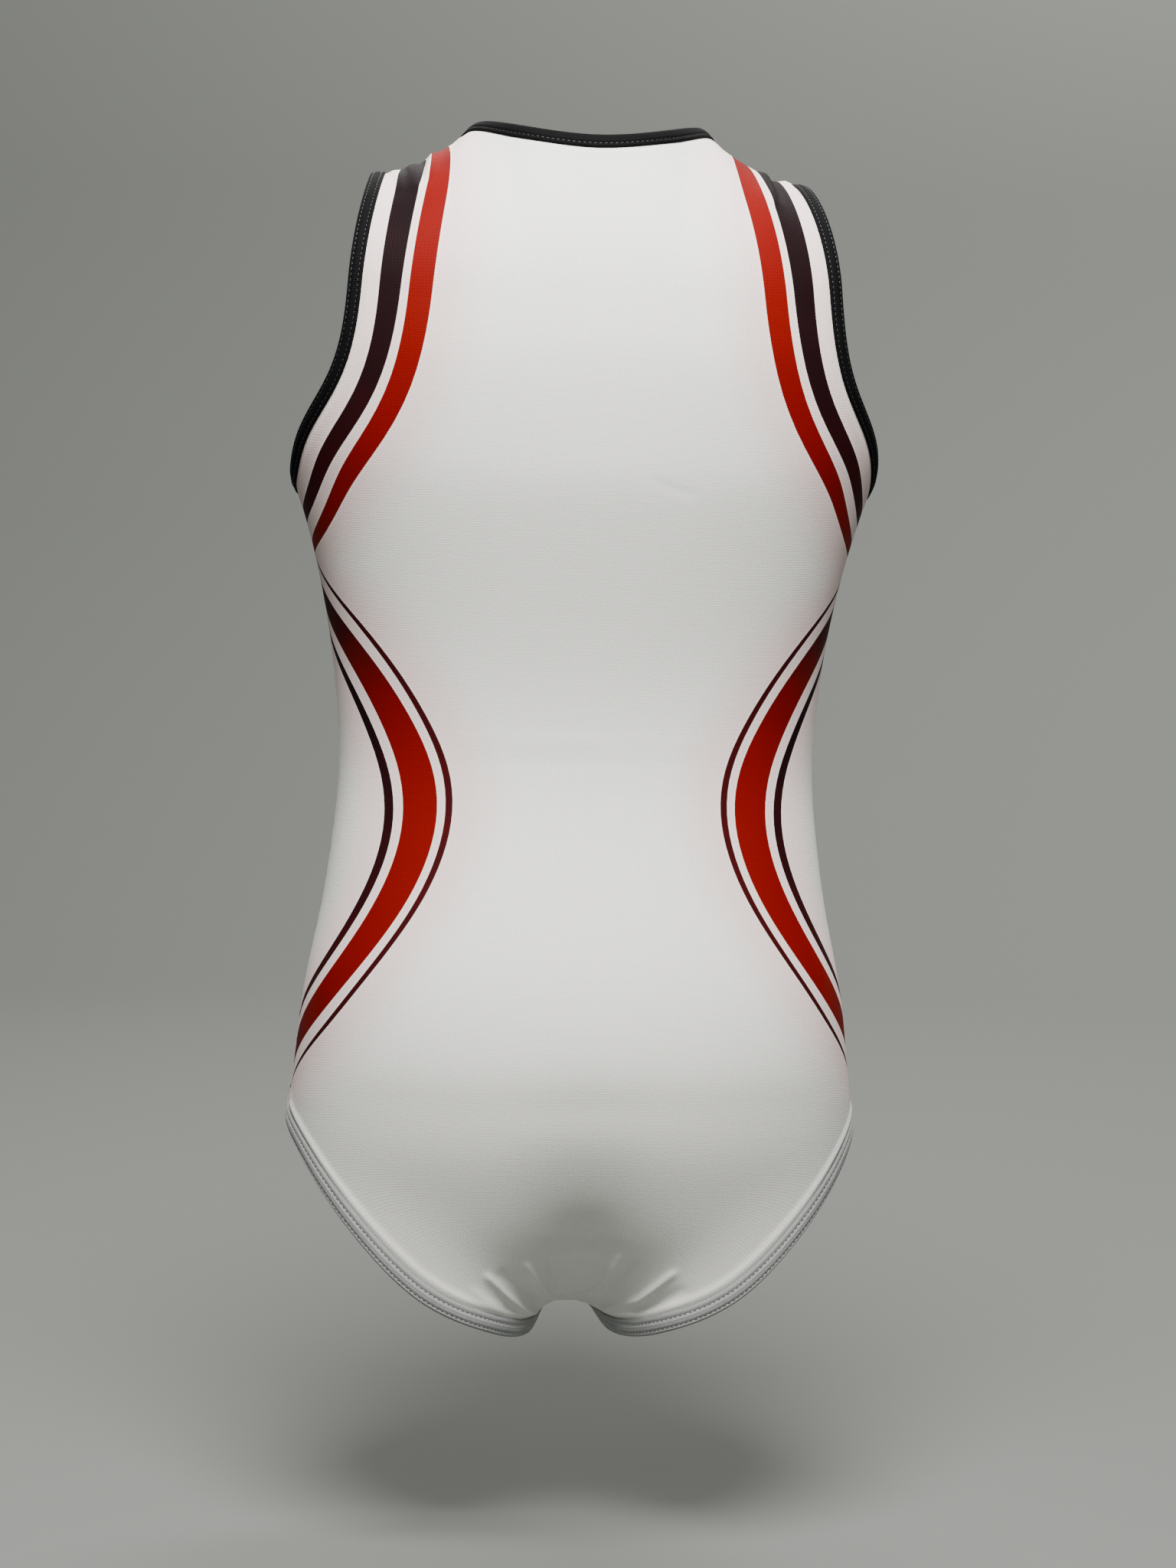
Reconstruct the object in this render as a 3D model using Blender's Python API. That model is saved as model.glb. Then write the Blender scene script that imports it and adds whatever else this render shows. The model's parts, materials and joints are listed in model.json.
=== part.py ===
"""A sleeveless leotard, filled out as it is worn, with no wearer inside.

Frame: metres, +Z up, +Y out of the garment's front, +X to the wearer's right. The origin is midway
between the two shoulders, at the height where the shoulder seams rest. Sizes below are millimetres.

A maker cuts a back and a front, sews them at the shoulders, the sides and the crotch, binds the neck
and the armholes with a folded black strip, and finishes each leg opening with a folded elastic band.
"""

from collections import namedtuple

import bmesh
import bpy
import numpy as np
from mathutils.bvhtree import BVHTree

MM = 0.001

# The cloth.
WALL = 1.2              # knit, shown as one wall
SEAM = 0.3              # gap between two pieces at a seam

# Folded strips: their reach onto the panel, their own thickness, their roll past the edge, and how many
# sections of the strip there are to each row or column of the panel.
NECK_STRIP = {"reach": 5.6, "wall": 1.0, "roll": 1.5, "parts": 3}
ARM_STRIP = {"reach": 5.6, "wall": 1.0, "roll": 1.5, "parts": 2}
LEG_STRIP = {"reach": 6.8, "wall": 1.0, "roll": 1.5, "parts": 2}
STRIP_FLOOR = 0.5       # from a panel's cut edge to the inside of the fold
STRIP_EASE = 0.3        # added to the gap under a strip, so that its facets clear the panel's

# How finely the panels are divided.
LEG_STEPS = 14          # rows along a leg opening
SIDE_STEPS = 10         # rows along a side seam
ARM_STEPS = 8           # rows from the underarm to the upper chest
YOKE_STEPS = 8          # rows from the upper chest over the shoulder
HALF_COLUMNS = 12       # columns from the centre line to a side
NECK_COLUMNS = 6        # of these, how many end at the neckline

# A section runs from the centre line (depth, centre_z) round towards the side, where the body would be
# half_width wide. The cloth reaches "reach" degrees round it, and its edge is at edge_z. "square" is the
# section's superellipse exponent, and "pinch" is how far the centre is drawn in between the legs.
Section = namedtuple("Section", "depth pinch centre_z half_width reach edge_z side_y square")

BACK_SECTIONS = [
    Section(6.0, 0.0, -552.5, 110.0, 7.3, -554.5, 6.0, 2.00),      # crotch seam
    Section(-21.0, 17.0, -551.5, 114.0, 8.2, -558.5, 2.0, 2.00),
    Section(-42.0, 23.0, -547.5, 120.0, 9.8, -560.5, 2.0, 2.00),
    Section(-59.5, 22.0, -538.5, 127.0, 13.5, -557.5, 2.0, 2.00),
    Section(-72.5, 17.0, -525.0, 133.0, 20.0, -549.5, 2.0, 2.05),
    Section(-82.0, 11.0, -508.5, 137.0, 31.5, -535.5, 2.0, 2.10),
    Section(-89.0, 6.0, -489.5, 138.0, 46.0, -509.5, 2.0, 2.15),
    Section(-94.5, 3.0, -470.0, 137.5, 64.0, -480.0, 2.0, 2.20),
    Section(-97.5, 1.5, -454.0, 137.0, 77.5, -466.0, 2.0, 2.22),
    Section(-99.0, 1.0, -440.0, 136.0, 90.0, -460.0, 2.0, 2.25),   # top of the leg opening
    Section(-99.5, 0.0, -421.0, 133.5, 90.0, -437.0, 2.0, 2.30),
    Section(-95.0, 0.0, -391.0, 129.5, 90.0, -402.0, 2.0, 2.30),
    Section(-85.0, 0.0, -359.0, 122.5, 90.0, -366.0, 2.0, 2.30),
    Section(-74.0, 0.0, -326.0, 117.0, 90.0, -329.0, 2.0, 2.30),
    Section(-66.5, 0.0, -292.0, 114.0, 90.0, -292.0, 2.0, 2.30),   # waist
    Section(-66.0, 0.0, -258.0, 116.0, 90.0, -255.0, 2.0, 2.30),
    Section(-70.5, 0.0, -225.0, 121.0, 90.0, -218.0, 2.0, 2.30),
    Section(-77.0, 0.0, -193.0, 129.0, 90.0, -181.0, 2.0, 2.30),
    Section(-81.5, 0.0, -172.0, 136.0, 90.0, -157.0, 4.0, 2.30),   # underarm
    Section(-84.5, 0.0, -155.0, 141.0, 77.0, -150.0, 4.0, 2.30),
    Section(-85.8, 0.0, -138.0, 146.0, 65.3, -134.5, 3.0, 2.30),
    Section(-86.5, 0.0, -118.0, 149.0, 53.3, -113.0, 2.0, 2.30),
    Section(-85.8, 0.0, -95.0, 150.0, 47.6, -89.5, 1.0, 2.30),
    Section(-82.0, 0.0, -71.0, 150.0, 45.9, -65.0, 0.0, 2.30),     # foot of the yoke
]

FRONT_SECTIONS = [
    Section(6.3, 0.0, -552.5, 110.0, 7.3, -554.5, 6.3, 2.00),      # crotch seam
    Section(24.0, 0.0, -550.0, 114.0, 7.6, -553.0, 2.3, 2.00),
    Section(42.0, 0.0, -543.0, 120.0, 9.2, -548.0, 2.3, 2.00),
    Section(55.0, 0.0, -530.5, 127.0, 12.8, -538.0, 2.3, 2.00),
    Section(63.0, 0.0, -515.0, 133.0, 19.5, -522.5, 2.3, 2.05),
    Section(67.5, 0.0, -498.0, 137.0, 29.0, -505.0, 2.3, 2.10),
    Section(70.0, 0.0, -481.0, 138.0, 41.5, -488.0, 2.3, 2.15),
    Section(72.5, 0.0, -465.0, 137.5, 59.0, -473.0, 2.3, 2.20),
    Section(74.0, 0.0, -452.0, 137.0, 75.0, -463.5, 2.3, 2.22),
    Section(75.0, 0.0, -440.0, 136.0, 90.0, -460.0, 2.3, 2.25),    # top of the leg opening
    Section(76.0, 0.0, -421.0, 133.5, 90.0, -437.0, 2.3, 2.30),
    Section(78.5, 0.0, -391.0, 129.5, 90.0, -402.0, 2.3, 2.30),
    Section(79.5, 0.0, -359.0, 122.5, 90.0, -366.0, 2.3, 2.30),
    Section(78.5, 0.0, -326.0, 117.0, 90.0, -329.0, 2.3, 2.30),
    Section(77.0, 0.0, -292.0, 114.0, 90.0, -292.0, 2.3, 2.30),    # waist
    Section(78.0, 0.0, -258.0, 116.0, 90.0, -255.0, 2.3, 2.30),
    Section(80.5, 0.0, -225.0, 121.0, 90.0, -218.0, 2.3, 2.30),
    Section(83.5, 0.0, -193.0, 129.0, 90.0, -181.0, 2.3, 2.30),
    Section(84.8, 0.0, -172.0, 136.0, 90.0, -157.0, 4.3, 2.30),    # underarm
    Section(85.0, 0.0, -157.0, 141.0, 76.0, -151.0, 4.3, 2.30),
    Section(84.3, 0.0, -141.0, 146.0, 62.5, -136.5, 3.3, 2.30),
    Section(83.0, 0.0, -124.0, 149.0, 52.3, -118.0, 2.3, 2.30),
    Section(80.3, 0.0, -107.0, 150.0, 45.6, -98.0, 1.3, 2.30),
    Section(76.5, 0.0, -92.0, 150.0, 42.1, -77.0, 0.3, 2.30),      # foot of the yoke
]
LEG_TOP, UNDERARM = 9, 18        # rows of the tables where the edge turns a corner
PINCH_WIDTH = 32.0               # how wide the drawn-in strip between the legs is
EDGE_TURN = 5                    # a section leaves its centre's height only this late on its way out

# The neckline's right half, from the centre back round to the centre front: x, y, z.
NECKLINE = [
    (0.0, -50.0, 2.5),
    (28.0, -44.5, 5.5),
    (46.0, -25.0, 10.5),
    (55.5, -2.5, 10.5),          # neck point, at the shoulder seam
    (52.0, 22.0, -4.0),
    (32.5, 45.0, -31.5),
    (0.0, 55.0, -46.0),
]
NECK_POINT = 3
SHOULDER_POINT = (102.0, -3.0, -12.5)    # where the shoulder seam meets the armhole
SHOULDER_SAG = 1.6                       # 1 is a straight seam, more drops faster beside the neck

# The way the cloth is heading as it reaches the top edge, at these shares of the half width.
ARRIVAL_MARKS = (0.0, 0.25, 0.5, 0.7, 1.0)
BACK_ARRIVAL = [(0, 0.45, 0.89), (-0.2, 0.55, 0.81), (-0.5, 0.77, 0.4), (-0.1, 0.99, 0.1), (0, 1, 0)]
FRONT_ARRIVAL = [(0, -0.5, 0.86), (-0.4, -0.45, 0.8), (-0.5, -0.77, 0.4), (-0.1, -0.99, 0.1), (0, -1, 0)]
YOKE_FULLNESS = 1.15


def spline(knots, values, at):
    """The natural cubic spline through (knots, values), read at the given places."""
    knots, values = np.asarray(knots, float), np.asarray(values, float)
    count = len(knots)
    step, rise = np.diff(knots), np.diff(values)
    system, target = np.eye(count), np.zeros(count)
    for i in range(1, count - 1):
        system[i, i - 1 : i + 2] = step[i - 1], 2 * (step[i - 1] + step[i]), step[i]
        target[i] = 6 * (rise[i] / step[i] - rise[i - 1] / step[i - 1])
    bend = np.linalg.solve(system, target)
    i = np.clip(np.searchsorted(knots, at, side="right") - 1, 0, count - 2)
    a, b = (knots[i + 1] - at) / step[i], (at - knots[i]) / step[i]
    curve = ((a**3 - a) * bend[i] + (b**3 - b) * bend[i + 1]) * step[i] ** 2 / 6
    return a * values[i] + b * values[i + 1] + curve


def unit(vectors):
    return vectors / np.linalg.norm(vectors, axis=-1, keepdims=True)


def section_points(depth, pinch, centre_z, half_width, reach, edge_z, side_y, square, across):
    """Points of one section at the shares "across" of its reach, 0 at the centre and 1 at the edge."""
    angle = np.radians(reach) * across
    power = 2 / square
    x = half_width * np.sin(angle) ** power
    y = side_y + (depth - side_y) * np.maximum(np.cos(angle), 0) ** power
    y = y + pinch * np.exp(-((x / PINCH_WIDTH) ** 2))
    z = centre_z + (edge_z - centre_z) * across**EDGE_TURN
    return np.stack([x, y, z], axis=-1)


def body_rows(sections, at, across):
    """Rows of the panel at places "at" between its sections, counted from 0 at the crotch seam.

    The edge turns a corner at the top of the leg and at the underarm, so its splines stop there.
    """
    places = np.arange(len(sections), dtype=float)
    columns = {name: [getattr(s, name) for s in sections] for name in Section._fields}
    read = {name: spline(places, columns[name], at) for name in Section._fields}
    for low, high in ((0, LEG_TOP), (LEG_TOP, UNDERARM), (UNDERARM, len(sections) - 1)):
        inside = (at >= low) & (at <= high)
        for name in ("reach", "edge_z"):
            part = slice(low, high + 1)
            read[name][inside] = spline(places[part], columns[name][part], at[inside])
    return section_points(*(read[name][:, None] for name in Section._fields), across[None, :])


def top_edge(side, across):
    """The panel's top edge: the neckline up to the neck point, then the shoulder seam."""
    ring = np.array(NECKLINE)
    other_side = ring * (-1, 1, 1)
    whole = np.concatenate([other_side[2:0:-1], ring, other_side[-2:-4:-1]])
    turn = np.arange(-2, len(ring) + 2, dtype=float)
    neck_share = NECK_COLUMNS / HALF_COLUMNS
    along = np.clip(across / neck_share, 0, 1) * NECK_POINT
    if side == "front":
        along = len(ring) - 1 - along
    neck = np.stack([spline(turn, whole[:, k], along) for k in range(3)], axis=-1)
    out = np.clip((across - neck_share) / (1 - neck_share), 0, 1)[:, None]
    sag = np.concatenate([out, out, 1 - (1 - out) ** SHOULDER_SAG], axis=1)
    seam = ring[NECK_POINT] + (np.array(SHOULDER_POINT) - ring[NECK_POINT]) * sag
    edge = np.where(across[:, None] <= neck_share, neck, seam)
    if side == "front":
        edge[:, 1] += SEAM * np.clip(across / neck_share, 0, 1)
    return edge


def arrival(side, across):
    """The cloth's direction at its top edge, for each column."""
    ways = np.array(BACK_ARRIVAL if side == "back" else FRONT_ARRIVAL, float)
    return unit(np.stack([np.interp(across, ARRIVAL_MARKS, ways[:, k]) for k in range(3)], axis=-1))


def yoke_rows(side, foot, heading, across, shares):
    """Rows from the foot of the yoke over the shoulder, each column a smooth curve with set ends."""
    top = top_edge(side, across)
    length = np.linalg.norm(top - foot, axis=1, keepdims=True) * YOKE_FULLNESS
    start, end = heading * length, arrival(side, across) * length
    s = shares[:, None, None]
    return (
        (2 * s**3 - 3 * s**2 + 1) * foot
        + (s**3 - 2 * s**2 + s) * start
        + (3 * s**2 - 2 * s**3) * top
        + (s**3 - s**2) * end
    )


def panel_grid(side, finer=1):
    """The middle of the panel's wall as a grid of points: rows upwards, columns from left to right."""
    sections = BACK_SECTIONS if side == "back" else FRONT_SECTIONS
    foot = len(sections) - 1
    across = np.linspace(0, 1, HALF_COLUMNS * finer + 1)
    zones = ((0, LEG_TOP, LEG_STEPS), (LEG_TOP, UNDERARM, SIDE_STEPS), (UNDERARM, foot, ARM_STEPS))
    at = [np.linspace(low, high, steps * finer + 1)[:-1] for low, high, steps in zones]
    body = body_rows(sections, np.concatenate([*at, [foot]]), across)
    below = body_rows(sections, np.array([foot - 0.05]), across)[0]
    shares = np.linspace(0, 1, YOKE_STEPS * finer + 1)[1:]
    yoke = yoke_rows(side, body[-1], unit(body[-1] - below), across, shares)
    right = np.concatenate([body, yoke])
    left = right[:, :0:-1] * (-1, 1, 1)
    return np.concatenate([left, right], axis=1)


def grid_normals(side, grid):
    """Unit normals that point out of the garment, each the mean of the faces round its point."""
    corners = grid[:-1, :-1], grid[:-1, 1:], grid[1:, 1:], grid[1:, :-1]
    face = np.cross(corners[2] - corners[0], corners[3] - corners[1])
    normal = np.zeros_like(grid)
    for rows in (slice(None, -1), slice(1, None)):
        for columns in (slice(None, -1), slice(1, None)):
            normal[rows, columns] += face
    return unit(normal if side == "back" else -normal)


def solid_object(name, points, faces, colour, roughness):
    """A closed mesh as an object, with its faces turned outwards and its own material."""
    mesh = bpy.data.meshes.new(name)
    mesh.from_pydata([tuple(p) for p in np.asarray(points) * MM], [], faces)
    work = bmesh.new()
    work.from_mesh(mesh)
    bmesh.ops.recalc_face_normals(work, faces=work.faces)
    work.to_mesh(mesh)
    work.free()
    mesh.shade_smooth()
    mesh.set_sharp_from_angle(angle=np.radians(50))
    material = bpy.data.materials.new(name)
    material.use_nodes = True
    shader = material.node_tree.nodes["Principled BSDF"]
    shader.inputs["Base Color"].default_value = (*colour, 1)
    shader.inputs["Roughness"].default_value = roughness
    shader.inputs["Metallic"].default_value = 0.0
    mesh.materials.append(material)
    obj = bpy.data.objects.new(name, mesh)
    bpy.context.scene.collection.objects.link(obj)
    return obj


def grid_triangles(grid):
    """The grid's cells, each split along its shorter diagonal, as numbers of its points."""
    rows, columns = grid.shape[:2]
    triangles = []
    for i in range(rows - 1):
        for j in range(columns - 1):
            a = i * columns + j
            b, c, d = a + 1, a + 1 + columns, a + columns
            one = np.linalg.norm(grid[i, j] - grid[i + 1, j + 1])
            other = np.linalg.norm(grid[i, j + 1] - grid[i + 1, j])
            triangles += [(a, b, c), (a, c, d)] if one < other else [(a, b, d), (b, c, d)]
    return triangles


def wall_faces(grid):
    """The triangles of a wall: the grid's own, the same ones behind it, and its rim."""
    rows, columns = grid.shape[:2]
    back = rows * columns
    faces = []
    for triangle in grid_triangles(grid):
        faces += [triangle, tuple(back + k for k in reversed(triangle))]
    rim = list(range(columns))
    rim += [i * columns + columns - 1 for i in range(1, rows)]
    rim += [(rows - 1) * columns + j for j in range(columns - 2, -1, -1)]
    rim += [i * columns for i in range(rows - 2, 0, -1)]
    for a, b in zip(rim, rim[1:] + rim[:1]):
        faces += [(b, a, back + a), (b, back + a, back + b)]
    return faces


def make_panel(name, side, colour):
    """The back or the front as a wall of cloth."""
    grid = panel_grid(side)
    normal = grid_normals(side, grid)
    walls = [grid + normal * WALL / 2, grid - normal * WALL / 2]
    points = np.concatenate([wall.reshape(-1, 3) for wall in walls])
    return solid_object(name, points, wall_faces(grid), colour, 0.55)


def cloth_surface():
    """Both panels' middles as one search tree, with the normals of its triangles' corners."""
    points, normals, triangles = [], [], []
    for side in ("back", "front"):
        grid = panel_grid(side)
        first = len(points)
        points.extend(grid.reshape(-1, 3))
        normals.extend(grid_normals(side, grid).reshape(-1, 3))
        triangles += [tuple(first + k for k in corners) for corners in grid_triangles(grid)]
    points, normals = np.array(points), np.array(normals)
    tree = BVHTree.FromPolygons([tuple(p) for p in points], triangles)
    return tree, points, normals, triangles


def laid_on_cloth(places, cloth):
    """The nearest points of the cloth, its normals there, and how far away they are."""
    tree, points, normals, triangles = cloth
    found, normal, away = [], [], []
    for place in places:
        near, _, index, distance = tree.find_nearest(tuple(place))
        corners = triangles[index]
        a, b, c = (points[k] for k in corners)
        near = np.array(near)
        whole = np.linalg.norm(np.cross(b - a, c - a))
        shares = [
            np.linalg.norm(np.cross(q - near, r - near)) / whole for q, r in ((b, c), (c, a), (a, b))
        ]
        found.append(near)
        normal.append(sum(w * normals[k] for w, k in zip(shares, corners)))
        away.append(distance)
    return np.array(found), unit(np.array(normal)), np.array(away)


def edge_loops():
    """The five cut edges as closed loops of points, taken from the panels' own edges."""
    back, front = panel_grid("back"), panel_grid("front")
    leg, arm = LEG_STEPS, LEG_STEPS + SIDE_STEPS
    middle, neck = HALF_COLUMNS, NECK_COLUMNS

    def meeting(a, b):
        return (a + b)[None] / 2

    def ring(a, b):
        """Two open runs of points with shared ends, as one loop."""
        inner = b[::-1][1:-1]
        return np.concatenate([meeting(a[0], b[0]), a[1:-1], meeting(a[-1], b[-1]), inner])

    neckline = ring(
        back[-1, middle - neck : middle + neck + 1],
        front[-1, middle - neck : middle + neck + 1],
    )
    loops = {"neck": neckline}
    for hand, column in (("right", -1), ("left", 0)):
        loops["arm_" + hand] = ring(back[arm:, column], front[arm:, column])
        loops["leg_" + hand] = ring(back[: leg + 1, column], front[: leg + 1, column])
    return loops


def divided(loop, parts):
    """The loop with each of its steps divided into equal parts."""
    ahead = np.roll(loop, -1, axis=0)
    return np.stack([loop + (ahead - loop) * k / parts for k in range(parts)], axis=1).reshape(-1, 3)


def make_strip(name, loop, cloth, strip, colour, roughness):
    """A strip folded over a cut edge: one closed ring with a U-shaped section."""
    loop = divided(loop, strip["parts"])
    along = unit(np.roll(loop, -1, axis=0) - np.roll(loop, 1, axis=0))
    _, normal, _ = laid_on_cloth(loop, cloth)
    out = unit(np.cross(along, normal))
    reach = strip["reach"]
    if laid_on_cloth(loop - out * reach, cloth)[2].sum() > laid_on_cloth(loop + out * reach, cloth)[2].sum():
        out = -out
    halfway, halfway_normal, _ = laid_on_cloth(loop - out * reach / 2, cloth)
    hem, hem_normal, _ = laid_on_cloth(loop - out * reach, cloth)
    inner = WALL / 2 + SEAM + STRIP_EASE
    outer = inner + strip["wall"]
    round_off = 0.45 * outer
    tip = loop + out * strip["roll"]
    fold = loop + out * STRIP_FLOOR
    section = [
        hem + hem_normal * inner,
        hem + hem_normal * outer,
        halfway + halfway_normal * outer,
        loop + normal * outer,
        tip + normal * round_off,
        tip - normal * round_off,
        loop - normal * outer,
        halfway - halfway_normal * outer,
        hem - hem_normal * outer,
        hem - hem_normal * inner,
        halfway - halfway_normal * inner,
        fold - normal * inner,
        fold + normal * inner,
        halfway + halfway_normal * inner,
    ]
    count, corners = len(loop), len(section)
    points = np.stack(section, axis=1).reshape(-1, 3)
    faces = []
    for i in range(count):
        j = (i + 1) % count
        for a in range(corners):
            b = (a + 1) % corners
            faces.append((i * corners + a, i * corners + b, j * corners + b, j * corners + a))
    return solid_object(name, points, faces, colour, roughness)


def main():
    for obj in list(bpy.data.objects):
        bpy.data.objects.remove(obj, do_unlink=True)
    white, black, grey = (0.86, 0.85, 0.83), (0.012, 0.012, 0.014), (0.62, 0.64, 0.65)
    make_panel("back_panel", "back", white)
    make_panel("front_panel", "front", white)
    cloth = cloth_surface()
    loops = edge_loops()
    make_strip("neck_binding", loops["neck"], cloth, NECK_STRIP, black, 0.7)
    for hand in ("left", "right"):
        make_strip("armhole_binding_" + hand, loops["arm_" + hand], cloth, ARM_STRIP, black, 0.7)
        make_strip("leg_band_" + hand, loops["leg_" + hand], cloth, LEG_STRIP, grey, 0.5)


main()
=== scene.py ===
# %% [markdown]
# # A sleeveless leotard with printed stripes
# This lesson dresses a model of a leotard that is filled out as it is worn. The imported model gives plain
# solids: a back, a front, and five folded strips. Here each one becomes fine cloth, with soft folds,
# rows of stitches, seams and a print. A solid could also be smoothed and painted as it is, but real knit
# shows its edges, its seams and its thickness, so each piece is made again in the same place.

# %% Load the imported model
import json
import math
from collections import namedtuple
from functools import partial, partialmethod

import bpy
import numpy as np
from mathutils import Matrix, Vector
from mathutils.bvhtree import BVHTree

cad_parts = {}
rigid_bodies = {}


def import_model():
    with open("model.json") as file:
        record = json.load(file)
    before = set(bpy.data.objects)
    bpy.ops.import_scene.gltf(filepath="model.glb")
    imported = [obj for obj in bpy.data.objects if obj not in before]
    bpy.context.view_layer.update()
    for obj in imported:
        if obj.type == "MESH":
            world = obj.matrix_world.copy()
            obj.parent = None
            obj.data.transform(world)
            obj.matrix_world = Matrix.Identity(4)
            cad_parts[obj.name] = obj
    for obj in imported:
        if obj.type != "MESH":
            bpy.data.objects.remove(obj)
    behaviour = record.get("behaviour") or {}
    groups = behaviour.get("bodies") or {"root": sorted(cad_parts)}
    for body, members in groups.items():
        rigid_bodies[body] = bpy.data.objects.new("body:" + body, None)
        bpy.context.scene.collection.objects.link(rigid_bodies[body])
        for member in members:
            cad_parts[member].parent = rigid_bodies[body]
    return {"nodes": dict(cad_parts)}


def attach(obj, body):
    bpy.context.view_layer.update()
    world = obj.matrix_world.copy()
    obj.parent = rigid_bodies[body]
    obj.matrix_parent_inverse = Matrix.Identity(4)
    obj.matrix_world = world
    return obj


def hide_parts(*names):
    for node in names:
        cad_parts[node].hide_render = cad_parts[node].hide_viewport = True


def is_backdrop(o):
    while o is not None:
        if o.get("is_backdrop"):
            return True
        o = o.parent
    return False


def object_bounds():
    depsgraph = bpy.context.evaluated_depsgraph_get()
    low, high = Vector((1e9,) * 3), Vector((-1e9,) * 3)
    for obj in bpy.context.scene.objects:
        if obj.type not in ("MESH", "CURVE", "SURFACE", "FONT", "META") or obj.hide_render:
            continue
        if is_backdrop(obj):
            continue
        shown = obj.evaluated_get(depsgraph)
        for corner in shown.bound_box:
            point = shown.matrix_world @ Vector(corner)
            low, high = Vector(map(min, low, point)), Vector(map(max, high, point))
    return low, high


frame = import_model()
cad_low, cad_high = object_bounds()
MM = 0.001
print("solids:", ", ".join(sorted(frame["nodes"])))
print("size in mm:", [round(side / MM, 1) for side in cad_high - cad_low])

# %% [markdown]
# ## The cut of the cloth
# A maker cuts a back and a front. Each is described by sections, as a pattern drafter measures a figure:
# how deep and how wide it is at each height, and how far round the cloth reaches there. The same short
# tables made the solids, so what is built from them here lies exactly where the solids are. One could
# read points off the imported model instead, but then nobody could change the cut.

# %% Sizes of the cloth and the sections of the two panels
WALL = 1.2  # all sizes are millimetres until a mesh is made
SEAM = 0.3
LEG_STEPS, SIDE_STEPS, ARM_STEPS, YOKE_STEPS = 14, 10, 8, 8
HALF_COLUMNS, NECK_COLUMNS = 12, 6

SECTION_COLUMNS = ("depth", "pinch", "centre_z", "half_width", "reach", "edge_z", "side_y", "square")
BACK_SECTIONS = [
    (6, 0, -552.5, 110, 7.3, -554.5, 6, 2),  # crotch seam
    (-21, 17, -551.5, 114, 8.2, -558.5, 2, 2),
    (-42, 23, -547.5, 120, 9.8, -560.5, 2, 2),
    (-59.5, 22, -538.5, 127, 13.5, -557.5, 2, 2),
    (-72.5, 17, -525, 133, 20, -549.5, 2, 2.05),
    (-82, 11, -508.5, 137, 31.5, -535.5, 2, 2.1),
    (-89, 6, -489.5, 138, 46, -509.5, 2, 2.15),
    (-94.5, 3, -470, 137.5, 64, -480, 2, 2.2),
    (-97.5, 1.5, -454, 137, 77.5, -466, 2, 2.22),
    (-99, 1, -440, 136, 90, -460, 2, 2.25),  # top of the leg opening
    (-99.5, 0, -421, 133.5, 90, -437, 2, 2.3),
    (-95, 0, -391, 129.5, 90, -402, 2, 2.3),
    (-85, 0, -359, 122.5, 90, -366, 2, 2.3),
    (-74, 0, -326, 117, 90, -329, 2, 2.3),
    (-66.5, 0, -292, 114, 90, -292, 2, 2.3),  # waist
    (-66, 0, -258, 116, 90, -255, 2, 2.3),
    (-70.5, 0, -225, 121, 90, -218, 2, 2.3),
    (-77, 0, -193, 129, 90, -181, 2, 2.3),
    (-81.5, 0, -172, 136, 90, -157, 4, 2.3),  # underarm
    (-84.5, 0, -155, 141, 77, -150, 4, 2.3),
    (-85.8, 0, -138, 146, 65.3, -134.5, 3, 2.3),
    (-86.5, 0, -118, 149, 53.3, -113, 2, 2.3),
    (-85.8, 0, -95, 150, 47.6, -89.5, 1, 2.3),
    (-82, 0, -71, 150, 45.9, -65, 0, 2.3),  # foot of the yoke
]
FRONT_SECTIONS = [
    (6.3, 0, -552.5, 110, 7.3, -554.5, 6.3, 2),  # crotch seam
    (24, 0, -550, 114, 7.6, -553, 2.3, 2),
    (42, 0, -543, 120, 9.2, -548, 2.3, 2),
    (55, 0, -530.5, 127, 12.8, -538, 2.3, 2),
    (63, 0, -515, 133, 19.5, -522.5, 2.3, 2.05),
    (67.5, 0, -498, 137, 29, -505, 2.3, 2.1),
    (70, 0, -481, 138, 41.5, -488, 2.3, 2.15),
    (72.5, 0, -465, 137.5, 59, -473, 2.3, 2.2),
    (74, 0, -452, 137, 75, -463.5, 2.3, 2.22),
    (75, 0, -440, 136, 90, -460, 2.3, 2.25),  # top of the leg opening
    (76, 0, -421, 133.5, 90, -437, 2.3, 2.3),
    (78.5, 0, -391, 129.5, 90, -402, 2.3, 2.3),
    (79.5, 0, -359, 122.5, 90, -366, 2.3, 2.3),
    (78.5, 0, -326, 117, 90, -329, 2.3, 2.3),
    (77, 0, -292, 114, 90, -292, 2.3, 2.3),  # waist
    (78, 0, -258, 116, 90, -255, 2.3, 2.3),
    (80.5, 0, -225, 121, 90, -218, 2.3, 2.3),
    (83.5, 0, -193, 129, 90, -181, 2.3, 2.3),
    (84.8, 0, -172, 136, 90, -157, 4.3, 2.3),  # underarm
    (85, 0, -157, 141, 76, -151, 4.3, 2.3),
    (84.3, 0, -141, 146, 62.5, -136.5, 3.3, 2.3),
    (83, 0, -124, 149, 52.3, -118, 2.3, 2.3),
    (80.3, 0, -107, 150, 45.6, -98, 1.3, 2.3),
    (76.5, 0, -92, 150, 42.1, -77, 0.3, 2.3),  # foot of the yoke
]
LEG_TOP, UNDERARM = 9, 18  # rows of the tables where the edge turns a corner
PINCH_WIDTH = 32.0
EDGE_TURN = 5
NECKLINE = [
    (0.0, -50.0, 2.5),
    (28.0, -44.5, 5.5),
    (46.0, -25.0, 10.5),
    (55.5, -2.5, 10.5),  # neck point, at the shoulder seam
    (52.0, 22.0, -4.0),
    (32.5, 45.0, -31.5),
    (0.0, 55.0, -46.0),
]
NECK_POINT = 3
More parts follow.
